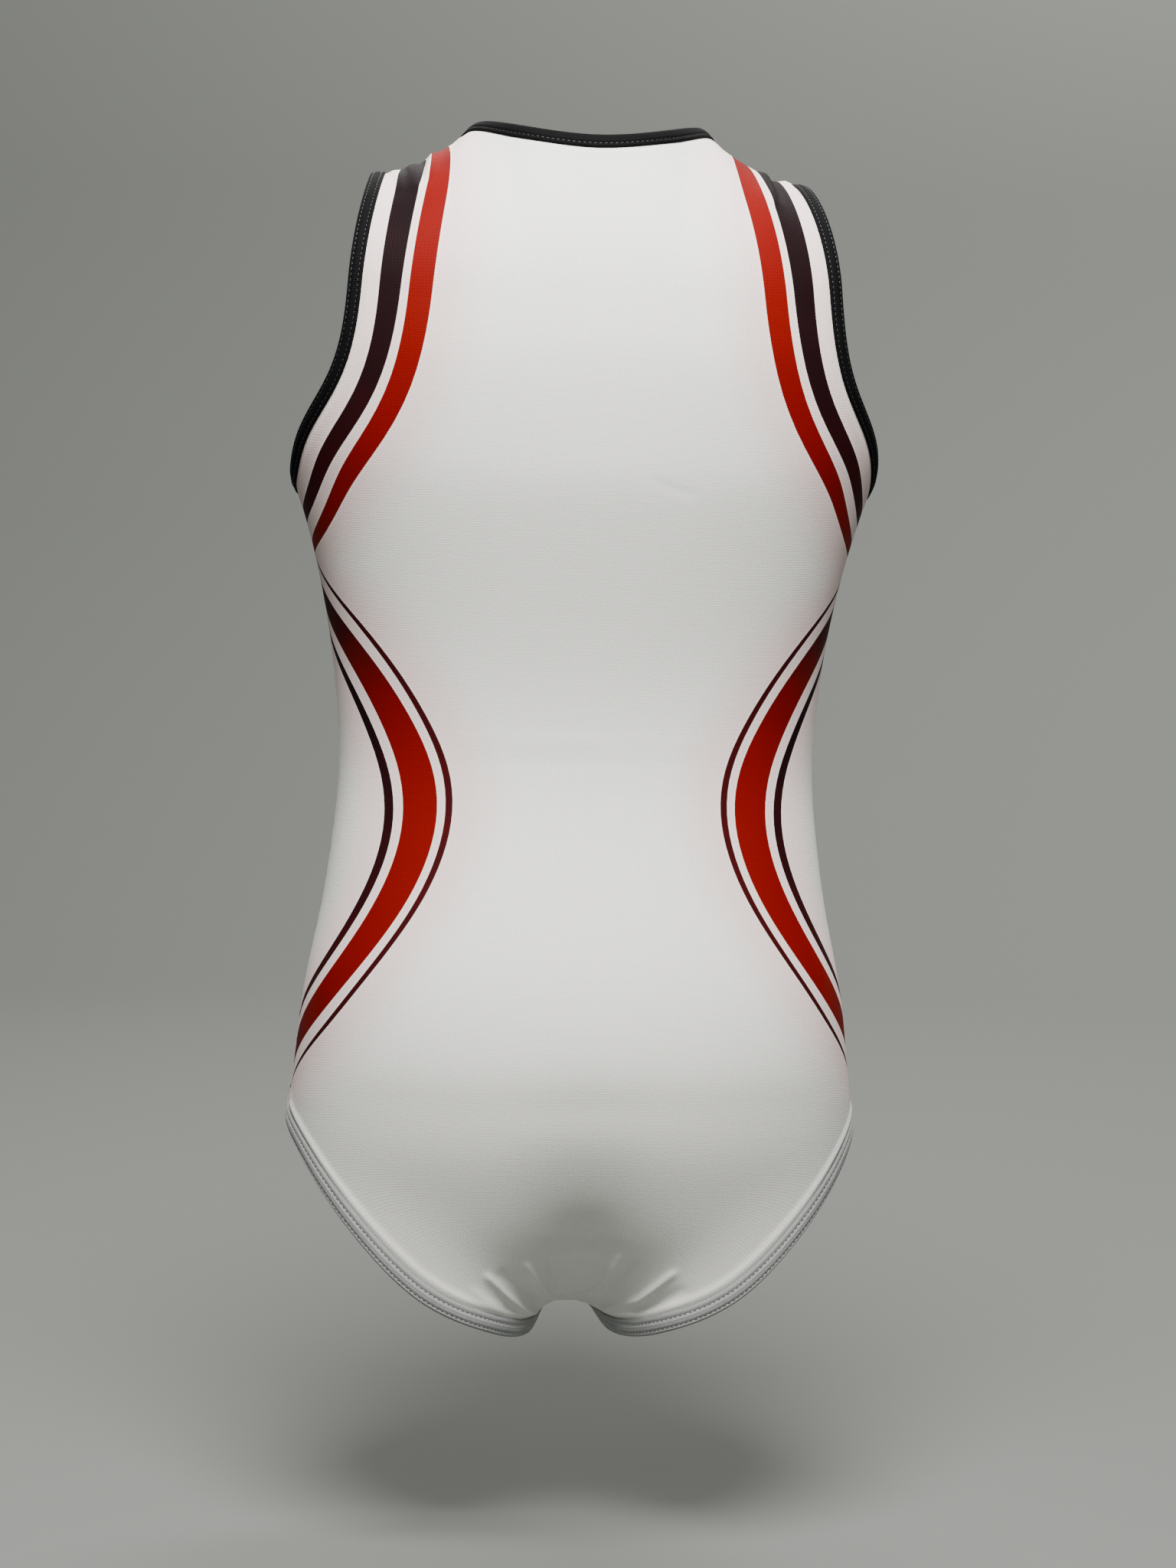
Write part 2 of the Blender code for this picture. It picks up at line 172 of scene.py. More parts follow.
SHOULDER_POINT = (102.0, -3.0, -12.5)
SHOULDER_SAG = 1.6
ARRIVAL_MARKS = (0.0, 0.25, 0.5, 0.7, 1.0)
ARRIVAL = {
    "back": [(0, 0.45, 0.89), (-0.2, 0.55, 0.81), (-0.5, 0.77, 0.4), (-0.1, 0.99, 0.1), (0, 1, 0)],
    "front": [(0, -0.5, 0.86), (-0.4, -0.45, 0.8), (-0.5, -0.77, 0.4), (-0.1, -0.99, 0.1), (0, -1, 0)],
}
YOKE_FULLNESS = 1.15
print("sections a panel:", len(BACK_SECTIONS))

# %% [markdown]
# ## From sections to a grid
# A section runs round the figure as a superellipse, which is rounder than a box and fuller than an
# ellipse, like a rib cage. Between two sections the sizes follow a smooth spline, and above the chest
# each column is a curve that goes over the shoulder. FINE says how many times finer the grid is than
# in the solids, and LEG_FINE says it for the rows beside the leg openings, where the folds are narrow.

# %% Curves through the sections
FINE = 6
LEG_FINE = 10


def spline(knots, values, at):
    """The natural cubic spline through (knots, values), read at the given places."""
    knots, values = np.asarray(knots, float), np.asarray(values, float)
    count = len(knots)
    step, rise = np.diff(knots), np.diff(values)
    system, target = np.eye(count), np.zeros(count)
    for i in range(1, count - 1):
        system[i, i - 1 : i + 2] = step[i - 1], 2 * (step[i - 1] + step[i]), step[i]
        target[i] = 6 * (rise[i] / step[i] - rise[i - 1] / step[i - 1])
    bend = np.linalg.solve(system, target)
    i = np.clip(np.searchsorted(knots, at, side="right") - 1, 0, count - 2)
    a, b = (knots[i + 1] - at) / step[i], (at - knots[i]) / step[i]
    curve = ((a**3 - a) * bend[i] + (b**3 - b) * bend[i + 1]) * step[i] ** 2 / 6
    return a * values[i] + b * values[i + 1] + curve


def unit(vectors):
    return vectors / np.linalg.norm(vectors, axis=-1, keepdims=True)


def section_points(depth, pinch, centre_z, half_width, reach, edge_z, side_y, square, across):
    """Points of one section at the shares "across" of its reach, 0 at the centre and 1 at the edge."""
    angle = np.radians(reach) * across
    power = 2 / square
    x = half_width * np.sin(angle) ** power
    y = side_y + (depth - side_y) * np.maximum(np.cos(angle), 0) ** power
    y = y + pinch * np.exp(-((x / PINCH_WIDTH) ** 2))
    z = centre_z + (edge_z - centre_z) * across**EDGE_TURN
    return np.stack([x, y, z], axis=-1)


def body_rows(sections, at, across):
    """Rows of a panel at places "at" between its sections, counted from 0 at the crotch seam."""
    places = np.arange(len(sections), dtype=float)
    columns = dict(zip(SECTION_COLUMNS, zip(*sections)))
    read = {name: spline(places, column, at) for name, column in columns.items()}
    for low, high in ((0, LEG_TOP), (LEG_TOP, UNDERARM), (UNDERARM, len(sections) - 1)):
        inside = (at >= low) & (at <= high)
        part = slice(low, high + 1)
        for name in ("reach", "edge_z"):
            read[name][inside] = spline(places[part], columns[name][part], at[inside])
    return section_points(*(column[:, None] for column in read.values()), across[None, :])


# %% The top edge, the yoke and the whole grid
def top_edge(side, across):
    """The panel's top edge: the neckline up to the neck point, then the shoulder seam."""
    ring = np.array(NECKLINE)
    other_side = ring * (-1, 1, 1)
    whole = np.concatenate([other_side[2:0:-1], ring, other_side[-2:-4:-1]])
    turn = np.arange(-2, len(ring) + 2, dtype=float)
    neck_share = NECK_COLUMNS / HALF_COLUMNS
    along = np.clip(across / neck_share, 0, 1) * NECK_POINT
    if side == "front":
        along = len(ring) - 1 - along
    neck = np.stack([spline(turn, whole[:, k], along) for k in range(3)], axis=-1)
    out = np.clip((across - neck_share) / (1 - neck_share), 0, 1)[:, None]
    sag = np.concatenate([out, out, 1 - (1 - out) ** SHOULDER_SAG], axis=1)
    seam = ring[NECK_POINT] + (np.array(SHOULDER_POINT) - ring[NECK_POINT]) * sag
    edge = np.where(across[:, None] <= neck_share, neck, seam)
    if side == "front":
        edge[:, 1] += SEAM * np.clip(across / neck_share, 0, 1)
    return edge


def yoke_rows(side, foot, heading, across, shares):
    """Rows from the foot of the yoke over the shoulder, each column a smooth curve with set ends."""
    top = top_edge(side, across)
    ways = np.array(ARRIVAL[side], float)
    arrival = unit(np.stack([np.interp(across, ARRIVAL_MARKS, ways[:, k]) for k in range(3)], axis=-1))
    length = np.linalg.norm(top - foot, axis=1, keepdims=True) * YOKE_FULLNESS
    s = shares[:, None, None]
    return (
        (2 * s**3 - 3 * s**2 + 1) * foot
        + (s**3 - 2 * s**2 + s) * heading * length
        + (3 * s**2 - 2 * s**3) * top
        + (s**3 - s**2) * arrival * length
    )


def panel_grid(side):
    """The middle of the panel's wall as a grid of points: rows upwards, columns from left to right."""
    sections = BACK_SECTIONS if side == "back" else FRONT_SECTIONS
    foot = len(sections) - 1
    across = np.linspace(0, 1, HALF_COLUMNS * FINE + 1)
    zones = (
        (0, LEG_TOP, LEG_STEPS * LEG_FINE),
        (LEG_TOP, UNDERARM, SIDE_STEPS * FINE),
        (UNDERARM, foot, ARM_STEPS * FINE),
    )
    at = [np.linspace(low, high, steps + 1)[:-1] for low, high, steps in zones]
    body = body_rows(sections, np.concatenate([*at, [foot]]), across)
    below = body_rows(sections, np.array([foot - 0.05]), across)[0]
    shares = np.linspace(0, 1, YOKE_STEPS * FINE + 1)[1:]
    yoke = yoke_rows(side, body[-1], unit(body[-1] - below), across, shares)
    right = np.concatenate([body, yoke])
    left = right[:, :0:-1] * (-1, 1, 1)
    return np.concatenate([left, right], axis=1)


def cells(grid):
    """The four corners of every cell of a grid, in order round it."""
    return grid[:-1, :-1], grid[:-1, 1:], grid[1:, 1:], grid[1:, :-1]


def cell_crosses(grid):
    """For every cell a vector along its normal, twice as long as the cell's area."""
    a, b, c, d = cells(grid)
    return np.cross(c - a, d - b)


def grid_normals(side, grid):
    """Unit normals that point out of the garment, each the mean of the cells round its point."""
    face, normal = cell_crosses(grid), np.zeros_like(grid)
    for rows in (slice(None, -1), slice(1, None)):
        for columns in (slice(None, -1), slice(1, None)):
            normal[rows, columns] += face
    return unit(normal if side == "back" else -normal)


GRID = {side: panel_grid(side) for side in ("back", "front")}
NORMAL = {side: grid_normals(side, GRID[side]) for side in GRID}
LEG_ROW = LEG_STEPS * LEG_FINE
ARM_ROW = LEG_ROW + SIDE_STEPS * FINE
MIDDLE, NECK_SPAN = HALF_COLUMNS * FINE, NECK_COLUMNS * FINE
print("grid of a panel:", GRID["back"].shape[:2])

# %% [markdown]
# ## Distances on the cloth
# Folds, ridges beside the bands and the print all depend on how far a point is from some line: a cut
# edge, a seam or the crest of a fold. One function measures that for a whole panel at once.

# %% How far each point is from a line, and the panels' own edges
def away_from(points, line):
    """Each point's distance from a run of points, and how far along the run, 0 to 1, it is nearest."""
    flat = points.reshape(-1, 3)
    line = np.asarray(line, float)
    nearest = np.full(len(flat), np.inf)
    share = np.zeros(len(flat))
    lengths = np.linalg.norm(np.diff(line, axis=0), axis=1)
    travelled = np.concatenate([[0], np.cumsum(lengths)])
    for k, length in enumerate(lengths):
        step = (line[k + 1] - line[k]) / max(length, 1e-9)
        along = np.clip((flat - line[k]) @ step, 0, length)
        distance = np.linalg.norm(flat - line[k] - along[:, None] * step, axis=1)
        closer = distance < nearest
        nearest[closer] = distance[closer]
        share[closer] = (travelled[k] + along[closer]) / travelled[-1]
    return nearest.reshape(points.shape[:-1]), share.reshape(points.shape[:-1])


def loop_steps(loop):
    """The lengths of the steps round a closed loop."""
    return np.linalg.norm(np.roll(loop, -1, axis=0) - loop, axis=1)


def right_half(points):
    """The points, with the left half's mirrored to the right, where the edges are measured."""
    return np.abs(points) * (1, 0, 0) + points * (0, 1, 1)


def edge_runs(side):
    """The right-hand edges of a panel: leg opening, armhole, half neck, and half of each seam."""
    grid = GRID[side]
    return {
        "leg": grid[: LEG_ROW + 1, -1],
        "side": grid[LEG_ROW : ARM_ROW + 1, -1],
        "arm": grid[ARM_ROW:, -1][::-1],
        "shoulder": grid[-1, MIDDLE + NECK_SPAN :],
        "neck": grid[-1, MIDDLE : MIDDLE + NECK_SPAN + 1],
        "crotch": grid[0, MIDDLE:],
    }


AWAY, ALONG = {}, {}
for side in GRID:
    for edge, run in edge_runs(side).items():
        AWAY[side, edge], ALONG[side, edge] = away_from(right_half(GRID[side]), run[::2])
print("armhole edge:", round(np.linalg.norm(np.diff(edge_runs("back")["arm"], axis=0), axis=1).sum()), "mm")

# %% [markdown]
# ## Folds and ridges
# Tight knit has few folds. They gather where the seat narrows between the legs, and where the shoulder
# seam is a little fuller than the shoulder. Each fold below is a soft ridge or trough along a short run
# of places, higher in the middle than at its ends. The leg bands pull the cloth, which rises beside them
# in a thin ridge, and the cloth dips at every seam. A cloth simulation would make such folds by chance,
# and placing them one by one puts them where they belong.

# %% The folds, listed one by one
BACK_FOLDS = [  # height, width and path
    (2.2, 1.9, [(-43, -70, -525), (-40, -68, -529), (-33, -61, -537), (-26, -49, -545), (-17, -26, -554)]),
    (-1.6, 3.0, [(-36, -68, -524), (-29, -62, -531), (-22, -50, -539), (-14, -36, -547)]),
    (2.6, 1.8, [(-25, -65, -520), (-22, -62, -525), (-17, -51, -533), (-11, -36, -542), (-6, -24, -547)]),
    (-1.5, 2.4, [(-13, -62, -521), (-10, -54, -530), (-7, -42, -537)]),
    (2.2, 1.9, [(18, -66, -517), (17, -63, -521), (14, -52, -531), (11, -44, -537), (6, -33, -542)]),
    (-1.5, 2.6, [(25, -66, -521), (20, -58, -530), (15, -46, -538)]),
    (2.2, 1.9, [(44, -71, -524), (41, -69, -527), (35, -64, -534), (30, -57, -540), (16, -27, -551)]),
    (-1.5, 3.0, [(47, -68, -532), (40, -62, -539), (32, -52, -546)]),
    (0.9, 2.2, [(-50, -70, -532), (-44, -67, -537), (-37, -62, -542)]),
    (-1.6, 2.2, [(-9, -28, -545), (-1, -28, -544), (5, -33, -541), (9, -38, -539)]),
    (-5.0, 14.0, [(1, -74, -505), (1, -69, -511), (1, -61, -520)]),
    (1.7, 2.8, [(-73, -6, -3), (-74, -19, -4), (-77, -39, -14)]),
    (1.6, 2.8, [(-85, -12, -9), (-84, -28, -12), (-83, -46, -22)]),
    (-1.3, 2.8, [(-79, -8, -5), (-80, -24, -9), (-80, -42, -18)]),
    (1.2, 2.4, [(-92, -12, -11), (-91, -30, -16), (-90, -42, -24)]),
    (1.7, 2.8, [(82, -10, -6), (83, -23, -10), (83, -48, -24)]),
    (-1.2, 2.6, [(87, -8, -8), (86, -29, -13), (86, -44, -22)]),
    (1.4, 2.6, [(93, -8, -10), (92, -16, -12), (96, -28, -17)]),
    (-0.35, 1.9, [(-56, -61, -284), (-30, -65, -282), (-3, -67, -281), (54, -61, -281)]),
    (0.3, 2.6, [(-60, -61, -280), (-30, -65, -278), (-3, -67, -277), (50, -61, -277)]),
    (-0.25, 1.6, [(24, -84, -155), (37, -83, -160), (44, -81, -162)]),
]
FRONT_FOLDS = [
    (1.0, 2.4, [(-17, 48, -537), (-11, 38, -544), (-6, 24, -549)]),
    (0.9, 2.4, [(20, 52, -532), (13, 41, -542), (8, 28, -548)]),
    (-0.8, 2.8, [(2, 50, -536), (1, 38, -545), (0, 24, -550)]),
    (1.2, 2.8, [(-78, 6, -6), (-79, 20, -10), (-81, 36, -20)]),
    (1.2, 2.8, [(84, 6, -8), (85, 18, -12), (86, 34, -22)]),
    (-0.9, 2.6, [(-86, 6, -9), (-86, 20, -14), (-87, 32, -22)]),
]
BAND_REACH = {"leg": 6.8, "arm": 5.6, "neck": 5.6}
SEAM_DIP, PUCKER = (0.5, 1.3), (0.13, 3.5)  # height and width
PUCKER_AWAY = 4.0


def fold_relief(side):
    """How far each point of a panel stands out of its smooth form, from the tables of folds."""
    flat = GRID[side].reshape(-1, 3)
    relief = np.zeros(GRID[side].shape[:2])
    for height, width, path in BACK_FOLDS if side == "back" else FRONT_FOLDS:
        laid = [flat[np.argmin(np.linalg.norm(flat - place, axis=1))] for place in path]
        distance, share = away_from(GRID[side], laid)
        crest = np.sin(np.pi * np.clip(share * 0.8 + 0.1, 0, 1)) ** 0.7
        relief += height * crest * np.exp(-((distance / width) ** 2))
    return relief


def bump_at(distance, height, width):
    return height * np.exp(-((distance / width) ** 2))


def edge_relief(side):
    """Ridges beside the strips and dips at the seams, with slight puckers along them."""
    relief = np.zeros(GRID[side].shape[:2])
    for edge, height, width in (("leg", 0.95, 1.7), ("arm", 0.3, 2.2), ("neck", 0.25, 2.2)):
        crest = BAND_REACH[edge] + 1.5 * width
        relief += bump_at(AWAY[side, edge] - crest, height, width)
    for edge, count in (("side", 26), ("shoulder", 7), ("crotch", 2)):
        distance, share = AWAY[side, edge], ALONG[side, edge]
        relief -= bump_at(distance, *SEAM_DIP)
        pucker = np.sin(share * count * 2 * np.pi + 1.3 * np.sin(share * 9.0))
        relief += pucker * bump_at(distance - PUCKER_AWAY, *PUCKER)
    return relief


def smooth_step(value, low, high):
    t = np.clip((value - low) / (high - low), 0, 1)
    return t * t * (3 - 2 * t)


RELIEF = {}
for side in GRID:
    free = np.ones(GRID[side].shape[:2])
    for edge, reach in BAND_REACH.items():
        free = np.minimum(free, smooth_step(AWAY[side, edge], reach - 0.5, reach + 3.5))
    RELIEF[side] = fold_relief(side) * free + edge_relief(side) * smooth_step(free, 0, 0.5)
    print(side, "relief from", RELIEF[side].min().round(2), "to", RELIEF[side].max().round(2), "mm")

# %% [markdown]
# ## Where the print lies
# The print has two families of stripes on each side. One follows the armhole round from the shoulder seam
# to the side seam, always the same distance from its edge. The other bows in from the side seam to the
# waist and out again. A picture could be wrapped on the cloth, but it would blur close up. Here each
# point of the cloth carries its distance from the stripes, and the material draws crisp edges from that.

# %% Distances for the print, each with the share along its line
BOW_HEIGHTS = (-180.0, -225.0, -270.0, -315.0, -360.0, -405.0, -450.0)
BOW_DEPTHS = (-34.0, 26.0, 58.0, 74.0, 70.0, 40.0, -26.0)  # in from the side seam
GROWTH_BEYOND = 3  # above and below the bow


def spread(grid):
    """Distances measured along the cloth: across from the centre line, and up the centre line."""
    across = np.linalg.norm(np.diff(grid, axis=1), axis=2)
    u = np.zeros(grid.shape[:2])
    u[:, MIDDLE + 1 :] = np.cumsum(across[:, MIDDLE:], axis=1)
    u[:, :MIDDLE] = -np.cumsum(across[:, MIDDLE - 1 :: -1], axis=1)[:, ::-1]
    up = np.linalg.norm(np.diff(grid[:, MIDDLE], axis=0), axis=1)
    v = np.concatenate([[0], np.cumsum(up)])[:, None] * np.ones(grid.shape[1])
    return u, v


def bow_field(side):
    """Distance from the bow's centre line, positive towards the side seam, and the share down it.

    The bow is set out from the side seam, so the stripes of the back and the front meet there. Above
    and below it the distance grows inwards, so that no stripe turns back."""
    u, _ = spread(GRID[side])
    from_seam = u[:, -1:] - np.abs(u)
    z = np.clip(GRID[side][..., 2], BOW_HEIGHTS[-1], BOW_HEIGHTS[0])
    heights, depths = BOW_HEIGHTS[::-1], BOW_DEPTHS[::-1]
    depth = spline(heights, depths, z.ravel()).reshape(z.shape)
    slope = spline(heights, depths, z.ravel() + 1).reshape(z.shape) - depth
    share = (BOW_HEIGHTS[0] - z) / (BOW_HEIGHTS[0] - BOW_HEIGHTS[-1])
    beyond = np.abs(GRID[side][..., 2] - z)
    return (depth - from_seam) / np.sqrt(1 + slope**2) - GROWTH_BEYOND * beyond, share


FIELDS = {
    side: {"armhole_stripes": (AWAY[side, "arm"], ALONG[side, "arm"]), "waist_stripes": bow_field(side)}
    for side in GRID
}
print("fields:", ", ".join(FIELDS["back"]))

# %% [markdown]
# ## A small language for materials
# A material is a web of nodes, and wiring them one by one makes long, dull code. The class Wire wraps a
# node's output, so that + - * on it add Math nodes, and the class Finish adds any other node with one
# method. The expressions then read like the formulas that they are.

# %% Nodes, wires and finishes
def add_node(tree, kind, sockets, output=0, **settings):
    """Adds a node to a tree: its settings first, then a value or a link for each of its sockets."""
    made = tree.nodes.new(kind)
    for name, value in settings.items():
        setattr(made, name, value)
    for key, value in sockets.items():
        if isinstance(value, bpy.types.NodeSocket):
            tree.links.new(value, made.inputs[key])
        else:
            made.inputs[key].default_value = value
    return made.outputs[output]


class Wire:
    """A number that comes out of a node. Python's operators on it add Math nodes."""

    def __init__(self, finish, socket):
        self.finish, self.socket = finish, socket

    def maths(self, operation, *others):
        return self.finish.maths(operation, self, *others)

    def __rsub__(self, other):
        return self.finish.maths("SUBTRACT", other, self)

    def waves(self, length):
        """Waves between -1 and 1, each as long as given."""
        return self.finish.maths("SINE", self * (2 * math.pi / length))

    __add__ = __radd__ = partialmethod(maths, "ADD")
    __sub__ = partialmethod(maths, "SUBTRACT")
    __mul__ = partialmethod(maths, "MULTIPLY")
    __abs__ = partialmethod(maths, "ABSOLUTE")
    least = partialmethod(maths, "MINIMUM")


class Finish:
    """One material, and short ways to add nodes to it."""

    def __init__(self, name):
        self.material = bpy.data.materials.new(name)
        self.material.use_nodes = True
        self.tree = self.material.node_tree
        self.shader = self.tree.nodes["Principled BSDF"]

    def set(self, socket, value):
        """Gives one of the shader's sockets a wire or a plain value."""
        if isinstance(value, Wire):
            self.tree.links.new(value.socket, self.shader.inputs[socket])
        else:
            self.shader.inputs[socket].default_value = value

    def node(self, kind, sockets, output=0, **settings):
        """Any node, with wires or plain values for its sockets."""
        sockets = {key: getattr(value, "socket", value) for key, value in sockets.items()}
        return Wire(self, add_node(self.tree, kind, sockets, output, **settings))

    def maths(self, operation, *values):
        return self.node("ShaderNodeMath", dict(enumerate(values)), operation=operation)

    def step(self, value, low, high):
        """0 below low, 1 above high, and a soft step between."""
        ends = {"Value": value, "From Min": low, "From Max": high}
        return self.node("ShaderNodeMapRange", ends, interpolation_type="SMOOTHSTEP")

    def blend(self, share, *ends):
        """A colour between two colours."""
        first, second = (end if isinstance(end, Wire) else (*end, 1) for end in ends)
        return self.node("ShaderNodeMix", {0: share, 6: first, 7: second}, output=2, data_type="RGBA")

    def ramp(self, share, stops):
        """A colour from a row of colours, each with its place in the row."""
        colour = self.node("ShaderNodeValToRGB", {"Fac": share})
        elements = colour.socket.node.color_ramp.elements
        while len(elements) < len(stops):
            elements.new(1.0)
        for element, (place, shade) in zip(elements, stops):
            element.position = place
            element.color = (*shade, 1)
        return colour

    def parts(self, vector):
        """The first two numbers of a vector, each as a wire."""
        return [self.node("ShaderNodeSeparateXYZ", {0: vector}, output=k) for k in range(2)]

    def field(self, name):
        """The two numbers of an attribute, each as a wire."""
        return self.parts(self.node("ShaderNodeAttribute", {}, output=1, attribute_name=name))

    def uv(self, name):
        return self.node("ShaderNodeUVMap", {}, uv_map=name)

    def noise(self, where, scale, detail=2.0):
        return self.node("ShaderNodeTexNoise", {"Vector": where, "Scale": scale, "Detail": detail})

    def bump(self, height, strength, distance):
        sockets = {"Strength": strength, "Distance": distance, "Height": height}
        self.set("Normal", self.node("ShaderNodeBump", sockets))


print("finishes ready")

# %% [markdown]
# ## The printed knit
# The cloth is a fine warp knit of polyester and elastane: smooth, nearly matt, and with wales, the
# upright ribs of a knit, just under a millimetre apart. The print is dyed into it, so it keeps the
# cloth's surface. The stripes are dark at the shoulder and run through maroon to red, and a thin pale
# line and a pink haze, like airbrushing, lie round them. The inside of the cloth is white.

# %% Colours and stripes of the print
WHITE = (0.80, 0.79, 0.765)
HAZE = (0.80, 0.53, 0.54)
PALE_LINE = (0.87, 0.80, 0.79)
INK = [
    (0.0, (0.0030, 0.0015, 0.0025)),
    (0.35, (0.0110, 0.0020, 0.0030)),
    (0.62, (0.0420, 0.0020, 0.0030)),
    (0.85, (0.1350, 0.0015, 0.0008)),
    (1.0, (0.1600, 0.0018, 0.0008)),
]
Stripe = namedtuple("Stripe", "field offset half_widths tones")
STRIPES = [
    Stripe("armhole_stripes", 19.5, (6.5, 5.0, 3.5), (0.0, 0.3, 0.62)),
    Stripe("armhole_stripes", 34.0, (4.0, 5.5, 2.5), (0.8, 1.0, 1.0)),
    Stripe("waist_stripes", 0.0, (4.5, 8.5, 5.0), (0.1, 1.1, 0.5)),
    Stripe("waist_stripes", -14.0, (0.8, 1.7, 0.8), (0.5, 0.62, 0.5)),
    Stripe("waist_stripes", 16.0, (1.4, 2.6, 2.0), (0.2, 0.4, 0.6)),
]
EDGE_SOFTNESS = 0.22
PALE_WIDTH, PALE_STRENGTH = 0.8, 0.7
HAZE_WIDTH, HAZE_BASE, HAZE_MOTTLE = 30.0, 0.4, 0.35
WALE, COURSE = 0.00085, 0.0011
# how much painted shade darkens the low troughs between the knit's ribs
RIB_PAINTED_SHADE = 0.13
DULL = 0.06  # how little light the cloth mirrors
FAR = 10000.0


def through(three, share):
    """The smooth curve through three values, at the start, the middle and the end."""
    start, middle, end = three
    bend = 2 * start - 4 * middle + 2 * end
    slope = 4 * middle - 3 * start - end
    return (share * bend + slope) * share + start


def knit_height(finish, uv):
    """The knit's ribs and courses as a height, 0 to about 1."""
    u, v = finish.parts(uv)
    return u.waves(WALE) * 0.3 + v.waves(COURSE) * 0.12 + finish.noise(uv, 900.0) * 0.8


# %% The two sides of the knit
def printed_face():
    finish = Finish("printed_knit")
    uv = finish.uv("cut")
    height = knit_height(finish, uv)
    mottle = finish.noise(uv, 22.0, 4.0)
    streak = finish.noise(uv, 60.0, 1.0) * 0.16 - 0.08
    fields = {name: finish.field(name) for name in FIELDS["back"]}
    nearest, tone = FAR, 0.0
    for stripe in STRIPES:
        offset, share = fields[stripe.field]
        outside = abs(offset - stripe.offset) - through(stripe.half_widths, share)
        closer = finish.maths("LESS_THAN", outside, nearest)
        tone = closer * (through(stripe.tones, share) + streak) + (1 - closer) * tone
        nearest = outside.least(nearest)
    haze = 1 - finish.step(nearest, 0.0, HAZE_WIDTH)
    cloth = finish.blend(haze * (HAZE_BASE + mottle * HAZE_MOTTLE), WHITE, HAZE)
    line = 1 - finish.step(nearest, PALE_WIDTH - EDGE_SOFTNESS, PALE_WIDTH + EDGE_SOFTNESS)
    cloth = finish.blend(line * PALE_STRENGTH, cloth, PALE_LINE)
    inked = 1 - finish.step(nearest, -EDGE_SOFTNESS, EDGE_SOFTNESS)
    colour = finish.blend(inked, cloth, finish.ramp(tone, INK))
    # painted shade: the colour is darkened a little in the low troughs between the knit's ribs
    shadow = finish.step(height, 0.05, 0.75) * RIB_PAINTED_SHADE + (1 - RIB_PAINTED_SHADE)
    grey = finish.node("ShaderNodeCombineXYZ", {0: shadow, 1: shadow, 2: shadow})
    settings = {"data_type": "RGBA", "blend_type": "MULTIPLY"}
    shaded = finish.node("ShaderNodeMix", {0: 1.0, 6: colour, 7: grey}, output=2, **settings)
    finish.set("Base Color", shaded)
    finish.set("Roughness", 0.5 + mottle * 0.12 + inked * 0.08)
    finish.set("Specular IOR Level", DULL)
    finish.bump(height, 0.35, 0.00025)
    return finish.material


def wrong_side():
    finish = Finish("knit_wrong_side")
    uv = finish.uv("cut")
    mottle = finish.noise(uv, 30.0, 3.0)
    finish.set("Base Color", finish.blend(mottle, (0.74, 0.73, 0.71), (0.80, 0.79, 0.77)))
    finish.set("Roughness", 0.65)
    finish.set("Sheen Weight", 0.15)
    finish.bump(knit_height(finish, uv), 0.4, 0.0003)
    return finish.material


PRINTED, INSIDE = printed_face(), wrong_side()
print("knit materials:", PRINTED.name, "and", INSIDE.name)

# %% [markdown]
# ## The back and the front
# Each panel is a real wall: an outer and an inner skin from the same grid, closed by a rim. Solidify
# could give the thickness, but the strips need to know exactly where each skin lies, so the two skins
# are made directly. A UV map called "cut" holds the place on the flat cloth, in metres.

# %% Make a panel
SHARP_ANGLE = math.radians(60)


def add_object(name, data):
    obj = bpy.data.objects.new(name, data)
    bpy.context.scene.collection.objects.link(obj)
    return obj


def mesh_object(name, points, faces, materials, slots=None):
    """A mesh object at the origin from points in millimetres."""
    mesh = bpy.data.meshes.new(name)
    mesh.from_pydata((np.asarray(points) * MM).tolist(), [], faces)
    for material in materials:
        mesh.materials.append(material)
    if slots is not None:
        mesh.polygons.foreach_set("material_index", np.asarray(slots, np.int32))
    mesh.shade_smooth()
    mesh.update()
    return add_object(name, mesh)


def set_uv(mesh, name, corner_values):
    layer = mesh.uv_layers.new(name=name)
    layer.data.foreach_set("uv", np.asarray(corner_values, np.float32).ravel())


def wall_quads(rows, columns, turned):
    """The quads of a wall, outer skin first, then the inner skin and the rim."""
    number = np.arange(rows * columns).reshape(rows, columns)
    outer = np.stack(cells(number), axis=-1).reshape(-1, 4)
    inner = outer[:, ::-1] + number.size
    rim = np.concatenate([number[0], number[1:, -1], number[-1, -2::-1], number[-2:0:-1, 0]])
    ahead = np.roll(rim, -1)
    edge = np.stack([ahead, rim, rim + number.size, ahead + number.size], axis=1)
    quads = np.concatenate([outer, inner, edge])
    slots = np.repeat([0, 1, 0], [len(outer), len(inner), len(edge)])
    return (quads[:, ::-1] if turned else quads), slots


def make_panel(name, side):
    grid, normal = GRID[side], NORMAL[side]
    middle = grid + normal * RELIEF[side][..., None]
    skins = [middle + normal * WALL / 2, middle - normal * WALL / 2]
    quads, slots = wall_quads(*grid.shape[:2], turned=side == "front")
    points = np.concatenate([skin.reshape(-1, 3) for skin in skins])
    panel = mesh_object(name, points, quads.tolist(), [PRINTED, INSIDE], slots)
    u, v = spread(grid)
    cut = np.tile(np.stack([u, v], axis=-1).reshape(-1, 2) * MM, (2, 1))
    set_uv(panel.data, "cut", cut[quads.ravel()])
    for field, (offset, share) in FIELDS[side].items():
        values = np.tile(np.stack([offset, share, 0 * share], axis=-1).reshape(-1, 3), (2, 1))
        attribute = panel.data.attributes.new(field, "FLOAT_VECTOR", "POINT")
        attribute.data.foreach_set("vector", values.astype(np.float32).ravel())
    panel.data.set_sharp_from_angle(angle=SHARP_ANGLE)
    return panel


panels = {side: make_panel("leotard_" + side, side) for side in GRID}
for side, panel in panels.items():
    print(panel.name, len(panel.data.polygons) * 2, "triangles")

